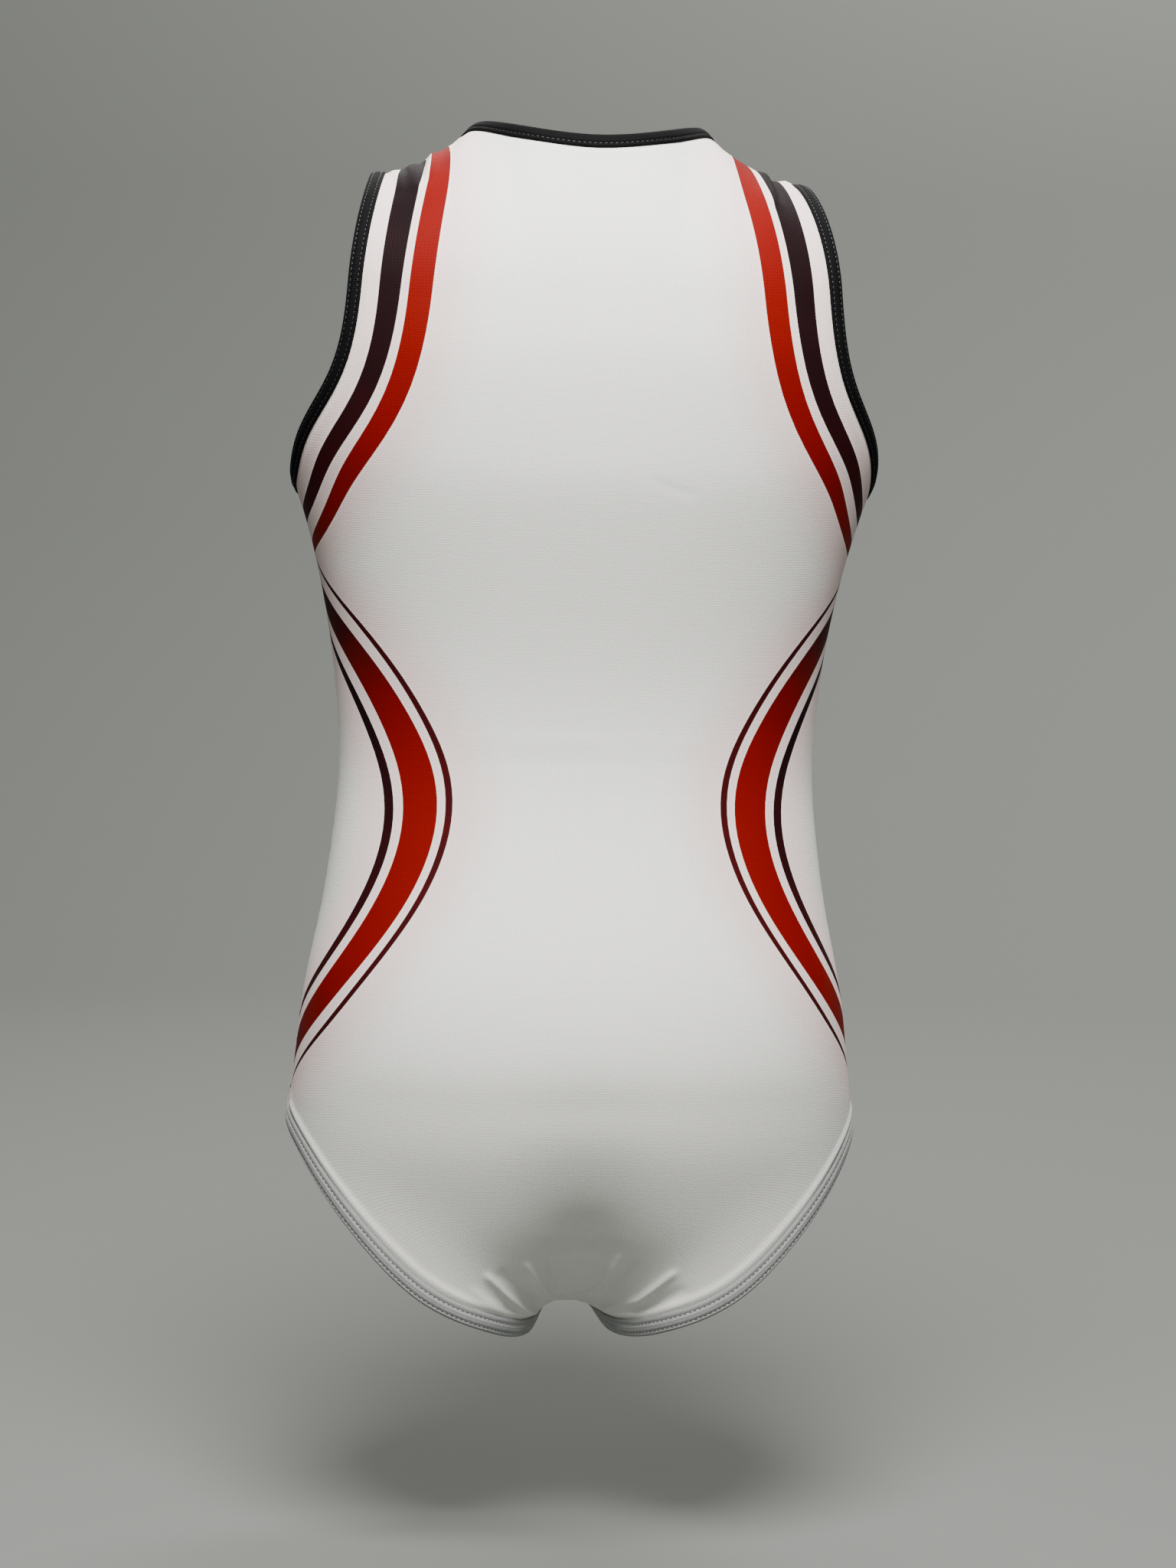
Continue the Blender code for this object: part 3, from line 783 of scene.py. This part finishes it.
# %% [markdown]
# ## Strips folded over the cut edges
# The neck and the armholes are bound in black knit, folded over the edge and stitched down. The leg
# openings have a soft grey band round an elastic. Each strip is one closed ring with a U-shaped section,
# laid on the cloth: a search tree finds the nearest place on it, so the strip bends as the cloth does.

# %% A search tree of the cloth, and places on it
def cloth_surface():
    points = np.concatenate([GRID[side].reshape(-1, 3) for side in GRID])
    normals = np.concatenate([NORMAL[side].reshape(-1, 3) for side in GRID])
    faces = []
    for k, side in enumerate(GRID):
        rows, columns = GRID[side].shape[:2]
        number = np.arange(rows * columns).reshape(rows, columns) + k * rows * columns
        a, b, c, d = cells(number)
        faces += [np.stack([a, b, c], -1).reshape(-1, 3), np.stack([a, c, d], -1).reshape(-1, 3)]
    faces = np.concatenate(faces)
    return BVHTree.FromPolygons(points.tolist(), faces.tolist()), points, normals, faces


def laid_on_cloth(places, cloth):
    """The nearest points of the cloth, its normals there, and how far away they are."""
    tree, points, normals, faces = cloth
    found = [tree.find_nearest(tuple(place)) for place in places]
    near = np.array([hit[0] for hit in found])
    corners = faces[[hit[2] for hit in found]]
    a, b, c = (points[corners[:, k]] for k in range(3))
    shares = np.stack(
        [np.linalg.norm(np.cross(q - near, r - near), axis=1) for q, r in ((b, c), (c, a), (a, b))], axis=1
    )
    normal = (shares[..., None] * normals[corners]).sum(axis=1)
    return near, unit(normal), np.array([hit[3] for hit in found])


def edge_loops():
    """The five cut edges as closed loops of points."""
    back, front = GRID["back"], GRID["front"]

    def ring(a, b):
        ends = [(a[k] + b[k])[None] / 2 for k in (0, -1)]
        return np.concatenate([ends[0], a[1:-1], ends[1], b[::-1][1:-1]])

    span = slice(MIDDLE - NECK_SPAN, MIDDLE + NECK_SPAN + 1)
    loops = {"neck": ring(back[-1, span], front[-1, span])}
    for hand, column in (("right", -1), ("left", 0)):
        loops["arm_" + hand] = ring(back[ARM_ROW:, column], front[ARM_ROW:, column])
        loops["leg_" + hand] = ring(back[: LEG_ROW + 1, column], front[: LEG_ROW + 1, column])
    return loops


CLOTH = cloth_surface()
LOOPS = edge_loops()
for name, loop in LOOPS.items():
    print(name, "edge:", round(loop_steps(loop).sum()), "mm round")

# %% [markdown]
# ## Two finishes for the strips
# The black binding is the same kind of knit cut across, so its ribs run round the fold. The grey band is
# brushed elastic: soft, a little fuzzy, with fine cross ribs. Its colour is its own grey darkened further by
# painted shade, which stands for the shade under the seat where the band turns down.

# %% Binding and band finishes
def strip_finish(name, dark, light, rib, roughness, sheen):
    finish = Finish(name)
    uv = finish.uv("strip")
    along, around = finish.parts(uv)
    ribs = along.waves(rib) * 0.5 + 0.5
    rows = around.waves(rib * 1.3) * 0.5 + 0.5
    fuzz = finish.noise(uv, 700.0, 3.0)
    patch = finish.noise(uv, 60.0, 3.0)
    # partly painted shade: the colour is lighter on the crests of the ribs and rows and darker between them;
    # the fuzz and the patches are tone that varies at random
    tone = ribs * 0.3 + rows * 0.2 + fuzz * 0.35 + patch * 0.3
    finish.set("Base Color", finish.blend(finish.step(tone, 0.2, 0.9), dark, light))
    finish.set("Roughness", roughness + fuzz * 0.15)
    finish.set("Sheen Weight", sheen)
    finish.set("Sheen Roughness", 0.35)
    finish.set("Specular IOR Level", DULL)
    finish.bump(ribs * 0.5 + rows * 0.3 + fuzz * 0.6, 0.5, 0.0003)
    return finish.material


BLACK = strip_finish("black_binding", (0.0008, 0.0008, 0.0010), (0.0035, 0.0035, 0.0042), 0.0011, 0.7, 0.005)
# the grey band's colours are its own light grey darkened further, as painted shade for the underside of the
# seat
GREY_WITH_PAINTED_SHADE = strip_finish("grey_band", (0.20, 0.205, 0.205), (0.34, 0.345, 0.345), 0.0009, 0.65, 0.1)
print("strip finishes:", BLACK.name, GREY_WITH_PAINTED_SHADE.name)

# %% The section of a strip
STRIP_OUTLINE = [  # share of the reach in from the cut edge, and level above the middle of the cloth
    (1.02, 0.72), (1.05, 1.05), (1.00, 1.45), (0.90, 1.72), (0.75, 1.88), (0.55, 2.02), (0.35, 2.10),
    (0.15, 2.08), (0.0, 1.98), (-0.12, 1.72), (-0.21, 1.25), (-0.26, 0.65), (-0.28, 0.0),
]
LINING = [(0.98, 0.72), (0.5, 0.95), (0.10, 0.95), (-0.06, 0.6)]
STITCH_ROWS = {"leg": (0.62, 0.02), "arm": (0.72, 0.05), "neck": (0.68,)}
GROOVE_DEPTH, GROOVE_WIDTH = 0.5, 0.5
OUTLINE_STEPS = 3  # between two points of the outline, and so up the strip's inner edge


def strip_outline(kind):
    """The strip's outer side from its inner edge to its fold, pulled in along each row of stitches."""
    knots = np.arange(len(STRIP_OUTLINE))
    at = np.linspace(0, knots[-1], OUTLINE_STEPS * knots[-1] + 1)
    share, level = (spline(knots, column, at) for column in zip(*STRIP_OUTLINE))
    for row in STITCH_ROWS[kind]:
        level = level - bump_at((share - row) * BAND_REACH[kind], GROOVE_DEPTH, GROOVE_WIDTH)
    return list(zip(share, level))


def strip_section(kind):
    """The whole closed section, as (share in from the edge, level): outside, fold, inside, lining."""
    outside = strip_outline(kind)
    inside = [(share, -level) for share, level in reversed(outside[:-1])]
    back = [(share, -level) for share, level in LINING]
    return outside + inside + back + LINING[::-1]


print("points of a section:", {kind: len(strip_section(kind)) for kind in STITCH_ROWS})


# %% Lay the section along a loop
def strip_frame(loop, reach):
    """At each point of the loop: the cloth's normal, and the direction out past the cut edge."""
    along = unit(np.roll(loop, -1, axis=0) - np.roll(loop, 1, axis=0))
    normal = laid_on_cloth(loop, CLOTH)[1]
    out = unit(np.cross(along, normal))
    away = [laid_on_cloth(loop - out * reach * turn, CLOTH)[2].sum() for turn in (1, -1)]
    return normal, (out if away[0] < away[1] else -out)


def strip_places(loop, reach, shares):
    """For each share, the places on the cloth that far in from the edge, and the normals there."""
    normal, out = strip_frame(loop, reach)
    found = {}
    for share in shares:
        places = loop - out * share * reach
        found[share] = (places, normal) if share <= 0 else laid_on_cloth(places, CLOTH)[:2]
    return found


def ring_quads(count, corners, closed=True):
    """The quads of a tube of rings, each ring with the same number of corners, and their four corners."""
    i, a = np.meshgrid(np.arange(count if closed else count - 1), np.arange(corners), indexing="ij")
    j, b = (i + 1) % count, (a + 1) % corners
    quads = np.stack([i * corners + a, i * corners + b, j * corners + b, j * corners + a], -1)
    return quads.reshape(-1, 4), i, a


def faces_inwards(points, quads):
    """True where a closed mesh is inside out."""
    a, b, c, d = (points[quads[:, k]] for k in range(4))
    return (np.cross(c - a, d - b) * ((a + b + c + d) / 4 - points.mean(axis=0))).sum() < 0


def tube_uv(rings, i, a):
    """The place on a strip's own cloth, along it and round its section, at each corner of each quad."""
    length = np.linalg.norm(np.diff(rings[:, 0], axis=0, append=rings[:1, 0]), axis=1)
    run, turn = (np.concatenate([[0], np.cumsum(steps)]) for steps in (length, loop_steps(rings[0])))
    along = np.stack([run[i], run[i], run[i + 1], run[i + 1]], -1)
    around = np.stack([turn[a], turn[a + 1], turn[a + 1], turn[a]], -1)
    return np.stack([along, around], -1).reshape(-1, 4, 2) * MM


def make_strip(name, loop, kind, material):
    section = strip_section(kind)
    found = strip_places(loop, BAND_REACH[kind], {share for share, _ in section})
    rings = np.stack([found[share][0] + found[share][1] * level for share, level in section], axis=1)
    points = rings.reshape(-1, 3)
    quads, i, a = ring_quads(*rings.shape[:2])
    uv = tube_uv(rings, i, a)
    if faces_inwards(points, quads):
        quads, uv = quads[:, ::-1], uv[:, ::-1]
    strip = mesh_object(name, points, quads.tolist(), [material])
    set_uv(strip.data, "strip", uv)
    return strip


Strip = namedtuple("Strip", "piece node kind length")
STRIP_NODES = {"neck": "neck_binding", "arm": "armhole_binding_", "leg": "leg_band_"}
strips = []
for edge, loop in LOOPS.items():
    kind, _, hand = edge.partition("_")
    node = STRIP_NODES[kind] + hand
    piece = make_strip("stitched_" + node, loop, kind, GREY_WITH_PAINTED_SHADE if kind == "leg" else BLACK)
    strips.append(Strip(piece, node, kind, loop_steps(loop).sum()))
    print(piece.name, len(piece.data.polygons), "faces,", round(strips[-1].length), "mm")

# %% [markdown]
# ## Seams inside the garment
# The back and the front are sewn together at the sides, the shoulders and between the legs. The cut edges
# stand inside as a narrow allowance, pressed to the back and trimmed by the machine that sews over it. A
# thin web of the same cloth fills the gap between the panels, so no light comes through the seam.

# %% Seam allowances
ALLOWANCE = [  # distance back from the seam, and level above the middle of the cloth
    (-0.12, -0.20), (0.12, -0.20), (0.12, -1.22), (1.3, -0.92), (3.0, -0.72), (4.8, -0.70), (5.2, -1.10),
    (4.8, -1.55), (3.0, -1.75), (1.0, -2.05), (0.0, -2.10), (-0.32, -1.80), (-0.30, -1.28), (-0.12, -1.22),
]
ALLOWANCE_WIDTH = 5.2


def seam_runs():
    """Each seam as the back's edge, the front's edge, and the back's row of points just inside it."""
    back, front = GRID["back"], GRID["front"]
    up, out = slice(LEG_ROW, ARM_ROW + 1), slice(MIDDLE + NECK_SPAN, None)
    runs = {"crotch": (back[0], front[0], back[2])}
    for hand, turn in (("right", 1), ("left", -1)):
        b, f = back[:, ::turn], front[:, ::turn]
        runs["side_" + hand] = b[up, -1], f[up, -1], b[up, -3]
        runs["shoulder_" + hand] = b[-1, out], f[-1, out], b[-3, out]
    return runs


def clear_of_strips(points):
    clear = np.ones(len(points), bool)
    for edge, loop in LOOPS.items():
        clear &= away_from(points, loop)[0] > BAND_REACH[edge.partition("_")[0]] + SEAM
    return clear


def seam_line(run):
    """The middle of a seam between the strips, and the unit way back along the cloth."""
    middle = (run[0] + run[1]) / 2
    keep = clear_of_strips(middle)
    return middle[keep], unit(run[2] - run[0])[keep]


def make_allowances(name):
    points, quads, caps, uv = np.zeros((0, 3)), [], [], []
    for run in seam_runs().values():
        middle, way = seam_line(run)
        rings = []
        for distance, level in ALLOWANCE:
            near, normal, _ = laid_on_cloth(middle + way * distance, CLOTH)
            rings.append(near + normal * level)
        rings = np.stack(rings, axis=1)
        made, i, a = ring_quads(*rings.shape[:2], closed=False)
        places = tube_uv(rings, i, a)
        corners = rings.shape[1]
        cap = [np.arange(corners)[::-1], np.arange(corners) + corners * (len(rings) - 1)]
        if faces_inwards(rings.reshape(-1, 3), made):
            made, places, cap = made[:, ::-1], places[:, ::-1], [end[::-1] for end in cap]
        quads += (made + len(points)).tolist()
        caps += [(end + len(points)).tolist() for end in cap]
        uv.append(places.reshape(-1, 2))
        points = np.concatenate([points, rings.reshape(-1, 3)])
    uv.append(np.zeros((sum(len(end) for end in caps), 2)))
    allowances = mesh_object(name, points, quads + caps, [INSIDE])
    set_uv(allowances.data, "cut", np.concatenate(uv))
    return allowances


allowances = make_allowances("overlocked_seam_allowances")
print(allowances.name, "with", len(allowances.data.polygons), "faces")

# %% [markdown]
# ## Stitches
# A stitch is a short, plump piece of thread, and a row has hundreds. Geometry Nodes set them: the tree
# turns a path of edges into curves, marks points one pitch apart, and puts one small stitch at each, laid
# along the path with its flat side to the cloth. Slant turns every second stitch the other way, which
# makes a zigzag. Painted stitches would be quicker, but they cast no shadow.

# %% The stitch tree
SIZES = {"Pitch": 2.5, "Length": 1.75, "Width": 0.5, "Height": 0.42, "Slant": 0.0}
STITCH_SIDES, STITCH_RINGS = 6, 4


def stitch_tree():
    tree = bpy.data.node_groups.new("stitches", "GeometryNodeTree")
    kinds = {"Path": "Geometry", **dict.fromkeys(SIZES, "Float"), "Thread": "Material"}
    for name, kind in kinds.items():
        tree.interface.new_socket(name, in_out="INPUT", socket_type="NodeSocket" + kind)
    tree.interface.new_socket("Stitches", in_out="OUTPUT", socket_type="NodeSocketGeometry")
    add = partial(add_node, tree)
    given = tree.nodes.new("NodeGroupInput").outputs
    curve = add("GeometryNodeMeshToCurve", {"Mesh": given["Path"]})
    marks = add("GeometryNodeResampleCurve", {"Curve": curve, "Length": given["Pitch"]}, mode="LENGTH")
    sizes = {"Segments": STITCH_SIDES, "Rings": STITCH_RINGS, "Radius": 0.5}
    ball = add("GeometryNodeMeshUVSphere", sizes)
    size = add("ShaderNodeCombineXYZ", {0: given["Length"], 1: given["Width"], 2: given["Height"]})
    turned = add("GeometryNodeTransform", {"Geometry": ball, "Rotation": (0, math.pi / 2, 0)})
    stitch = add("GeometryNodeTransform", {"Geometry": turned, "Scale": size})
    out = add("GeometryNodeInputNamedAttribute", {"Name": "out"}, data_type="FLOAT_VECTOR")
    ways = {"Primary Axis": add("GeometryNodeInputTangent", {}), "Secondary Axis": out}
    lie = add("FunctionNodeAxesToRotation", ways, primary_axis="X", secondary_axis="Z")
    odd = add("ShaderNodeMath", {0: add("GeometryNodeInputIndex", {}), 1: 2.0}, operation="MODULO")
    side = add("ShaderNodeMath", {0: odd, 1: -2.0, 2: 1.0}, operation="MULTIPLY_ADD")
    angle = add("ShaderNodeMath", {0: side, 1: given["Slant"]}, operation="MULTIPLY")
    lean = add("FunctionNodeEulerToRotation", {0: add("ShaderNodeCombineXYZ", {2: angle})})
    way = add("FunctionNodeRotateRotation", {0: lie, 1: lean}, rotation_space="LOCAL")
    put = {"Points": marks, "Instance": stitch, "Rotation": way}
    real = add("GeometryNodeRealizeInstances", {"Geometry": add("GeometryNodeInstanceOnPoints", put)})
    smooth = add("GeometryNodeSetShadeSmooth", {"Geometry": real, "Shade Smooth": True})
    done = add("GeometryNodeSetMaterial", {"Geometry": smooth, "Material": given["Thread"]})
    tree.links.new(done, tree.nodes.new("NodeGroupOutput").inputs[0])
    return tree


STITCH_TREE = stitch_tree()
print("nodes in the stitch tree:", len(STITCH_TREE.nodes))


# %% Thread, and a function that sews rows
def thread_finish(name, dark, light):
    finish = Finish(name)
    place = finish.node("ShaderNodeTexCoord", {}, output=3)
    finish.set("Base Color", finish.blend(finish.noise(place, 900.0, 3.0), dark, light))
    finish.set("Roughness", 0.45)
    finish.bump(finish.noise(place, 3500.0, 1.0), 0.3, 0.0001)
    return finish.material


def sew(name, rows, thread, **sizes):
    """Stitches along rows, each given as points, the way out of the cloth there, and closed or not."""
    points = np.concatenate([row[0] for row in rows]) * MM
    outs = np.concatenate([row[1] for row in rows])
    edges, first = [], 0
    for places, _, closed in rows:
        numbers = np.arange(first, first + len(places))
        ahead = np.roll(numbers, -1)
        edges += np.stack([numbers, ahead], axis=1)[: None if closed else -1].tolist()
        first += len(places)
    mesh = bpy.data.meshes.new(name)
    mesh.from_pydata(points.tolist(), edges, [])
    out = mesh.attributes.new("out", "FLOAT_VECTOR", "POINT")
    out.data.foreach_set("vector", outs.astype(np.float32).ravel())
    obj = add_object(name, mesh)
    modifier = obj.modifiers.new("stitches", "NODES")
    modifier.node_group = STITCH_TREE
    known = {item.name: item.identifier for item in STITCH_TREE.interface.items_tree}
    for key, value in {**SIZES, **sizes}.items():
        modifier[known[key]] = value if key == "Slant" else value * MM
    modifier[known["Thread"]] = thread
    seen = obj.evaluated_get(bpy.context.evaluated_depsgraph_get())
    obj.data = bpy.data.meshes.new_from_object(seen)
    obj.modifiers.remove(modifier)
    print(name, len(obj.data.polygons), "faces")
    return obj


BLACK_THREAD = thread_finish("black_thread", (0.004, 0.004, 0.005), (0.018, 0.018, 0.021))
GREY_THREAD = thread_finish("grey_thread", (0.52, 0.53, 0.53), (0.72, 0.73, 0.73))
WHITE_THREAD = thread_finish("white_thread", (0.66, 0.65, 0.63), (0.80, 0.79, 0.77))

# %% Sew the strips and the seams
THREAD_LIFT = 0.1
OVERLOCK = {"Pitch": 1.5, "Length": 3.6, "Width": 0.36, "Height": 0.3, "Slant": 1.15}
OVERLOCK_PLACE, OVERLOCK_LEVEL = 0.68, 1.8  # a share of the allowance's width, and how far inside


def strip_rows(kinds):
    """The rows of stitches on the strips of these kinds, on the outside and on the inside."""
    rows = []
    for edge, loop in LOOPS.items():
        kind = edge.partition("_")[0]
        if kind not in kinds:
            continue
        outline = np.array(strip_outline(kind))[OUTLINE_STEPS:]
        found = strip_places(loop, BAND_REACH[kind], STITCH_ROWS[kind])
        for row in STITCH_ROWS[kind]:
            level = outline[np.argmin(np.abs(outline[:, 0] - row)), 1] + THREAD_LIFT
            places, normal = found[row]
            rows += [(places + normal * level * way, normal * way, True) for way in (1, -1)]
    return rows


def overlock_rows():
    """A row over the trimmed edge of each allowance, on the side that faces the wearer."""
    rows = []
    for run in seam_runs().values():
        middle, way = seam_line(run)
        near, normal, _ = laid_on_cloth(middle + way * ALLOWANCE_WIDTH * OVERLOCK_PLACE, CLOTH)
        rows.append((near - normal * OVERLOCK_LEVEL, -normal, False))
    return rows


black_stitches = sew("binding_stitches", strip_rows(("neck", "arm")), BLACK_THREAD)
grey_stitches = sew("band_stitches", strip_rows(("leg",)), GREY_THREAD)
seam_stitches = sew("overlock_stitches", overlock_rows(), WHITE_THREAD, **OVERLOCK)

# %% [markdown]
# ## Who rides on what, and the sizes of the cloth
# Every piece moves with the one body that the garment has, and the solid that each panel and strip
# stands for is hidden. Each panel's size on the flat and its worn area are worked out. The knit is cut
# smaller than it is worn, because it stretches.

for side, panel in panels.items():
    u, v = spread(GRID[side])
    worn_area = np.linalg.norm(cell_crosses(GRID[side]), axis=-1).sum() / 2
    inside = [allowances] if side == "back" else ()
    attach(panel, "root")
    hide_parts(side + "_panel")

for strip in strips:
    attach(strip.piece, "root")
    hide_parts(strip.node)
    "grey_band" if strip.kind == "leg" else "black_binding"

for piece, slot in (
    (allowances, "printed_knit"),
    (seam_stitches, "printed_knit"),
    (black_stitches, "black_binding"),
    (grey_stitches, "grey_band"),
):
    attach(piece, "root")

# %% [markdown]
# ## Camera
# The camera stands 1.5 m behind the garment, a little above its waist, looks slightly down and leans a
# degree, as a hand-held camera does. Its lens is long, so the garment keeps its proportions.

# %% Place the camera
DISTANCE, CAMERA_HEIGHT = 1.48, -0.2
LENS, SHIFT = 70.3, 0.0077
AZIMUTH, PITCH, ROLL_ANGLE = math.radians(-5.0), math.radians(3.86), math.radians(1.1)

place = Vector((DISTANCE * math.sin(AZIMUTH), -DISTANCE * math.cos(AZIMUTH), CAMERA_HEIGHT))
camera = add_object("camera", bpy.data.cameras.new("camera"))
camera.data.lens, camera.data.shift_x = LENS, SHIFT
camera.matrix_world = (
    Matrix.Translation(place)
    @ Matrix.Rotation(AZIMUTH, 4, "Z")
    @ Matrix.Rotation(math.pi / 2 - PITCH, 4, "X")
    @ Matrix.Rotation(ROLL_ANGLE, 4, "Z")
)
bpy.context.scene.camera = camera
print("camera at", [round(c, 3) for c in place])

# %% [markdown]
# ## Floor, wall and light
# A grey floor runs up into a round wall in one sweep, so no line shows behind the garment. A soft
# light hangs close above the back, so the cloth is bright at the chest and falls into shade where it
# turns under. Others fill from the camera, light the wall and light the front, and the world is dim.

# %% Floor and wall in one sweep
FLOOR_Z, WALL_AWAY, SWEEP, WALL_TOP = -0.66, 2.9, 1.0, 3.0
WALL_STEPS, SWEEP_STEPS, INNER_RING = 64, 16, 0.3


def sweep_profile():
    turn = np.linspace(0, np.pi / 2, SWEEP_STEPS + 1)
    curve = [(WALL_AWAY - SWEEP * (1 - math.sin(t)), FLOOR_Z + SWEEP * (1 - math.cos(t))) for t in turn]
    return [(INNER_RING, FLOOR_Z), *curve, (WALL_AWAY, WALL_TOP)]


profile = np.array(sweep_profile())
turns = np.linspace(0, 2 * np.pi, WALL_STEPS, endpoint=False)
rings = [[(away * math.cos(t), away * math.sin(t), z) for t in turns] for away, z in profile]
quads, _, _ = ring_quads(len(profile), WALL_STEPS, closed=False)
middle = list(range(WALL_STEPS))[::-1]
backdrop = Finish("backdrop")
backdrop.set("Roughness", 0.9)
backdrop.set("Base Color", (0.128, 0.133, 0.127, 1))
points = np.array(rings).reshape(-1, 3) / MM
floor = mesh_object("floor", points, [*quads.tolist(), middle], [backdrop.material])
floor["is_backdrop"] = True
print("floor at", FLOOR_Z, "m, with", len(floor.data.polygons), "faces")


# %% Lights
WAIST, BACKDROP = (0.0, 0.0, -0.25), (0.8, 2.8, 0.1)
LIGHT_COLOUR = (1.0, 1.0, 0.955)


def area_light(name, place, aim, size, power):
    data = bpy.data.lights.new(name, "AREA")
    data.shape = "DISK"
    data.size = size
    data.energy = power
    data.color = LIGHT_COLOUR
    light = add_object(name, data)
    light.location = place
    light.rotation_euler = (Vector(aim) - Vector(place)).to_track_quat("-Z", "Y").to_euler()


area_light("above_back", (-0.05, -0.75, 1.0), WAIST, 0.9, 76)
area_light("above_camera", (-0.1, -1.25, 0.8), WAIST, 0.9, 8)
area_light("on_backdrop", (1.0, 1.4, 1.9), BACKDROP, 1.2, 112)
area_light("in_front", (-0.3, 1.3, 1.2), WAIST, 1.2, 20)
world = bpy.data.worlds.new("studio")
world.use_nodes = True
background = world.node_tree.nodes["Background"].inputs
background["Color"].default_value = (0.52, 0.53, 0.52, 1)
background["Strength"].default_value = 0.08
bpy.context.scene.world = world
print("lights:", sum(o.type == "LIGHT" for o in bpy.context.scene.objects))

# %% [markdown]
# ## Compare the sizes and finish
# The dressed garment stands slightly proud of the solids, so how far its box has grown past theirs is
# printed. The dressed garment may stand only slightly proud of the solids.

# %% Print how far the box has grown, and finish
low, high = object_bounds()
growth = [round((a - b) / MM, 1) for a, b in zip((*low, *high), (*cad_low, *cad_high))]
print("grown in mm, low and high:", growth)
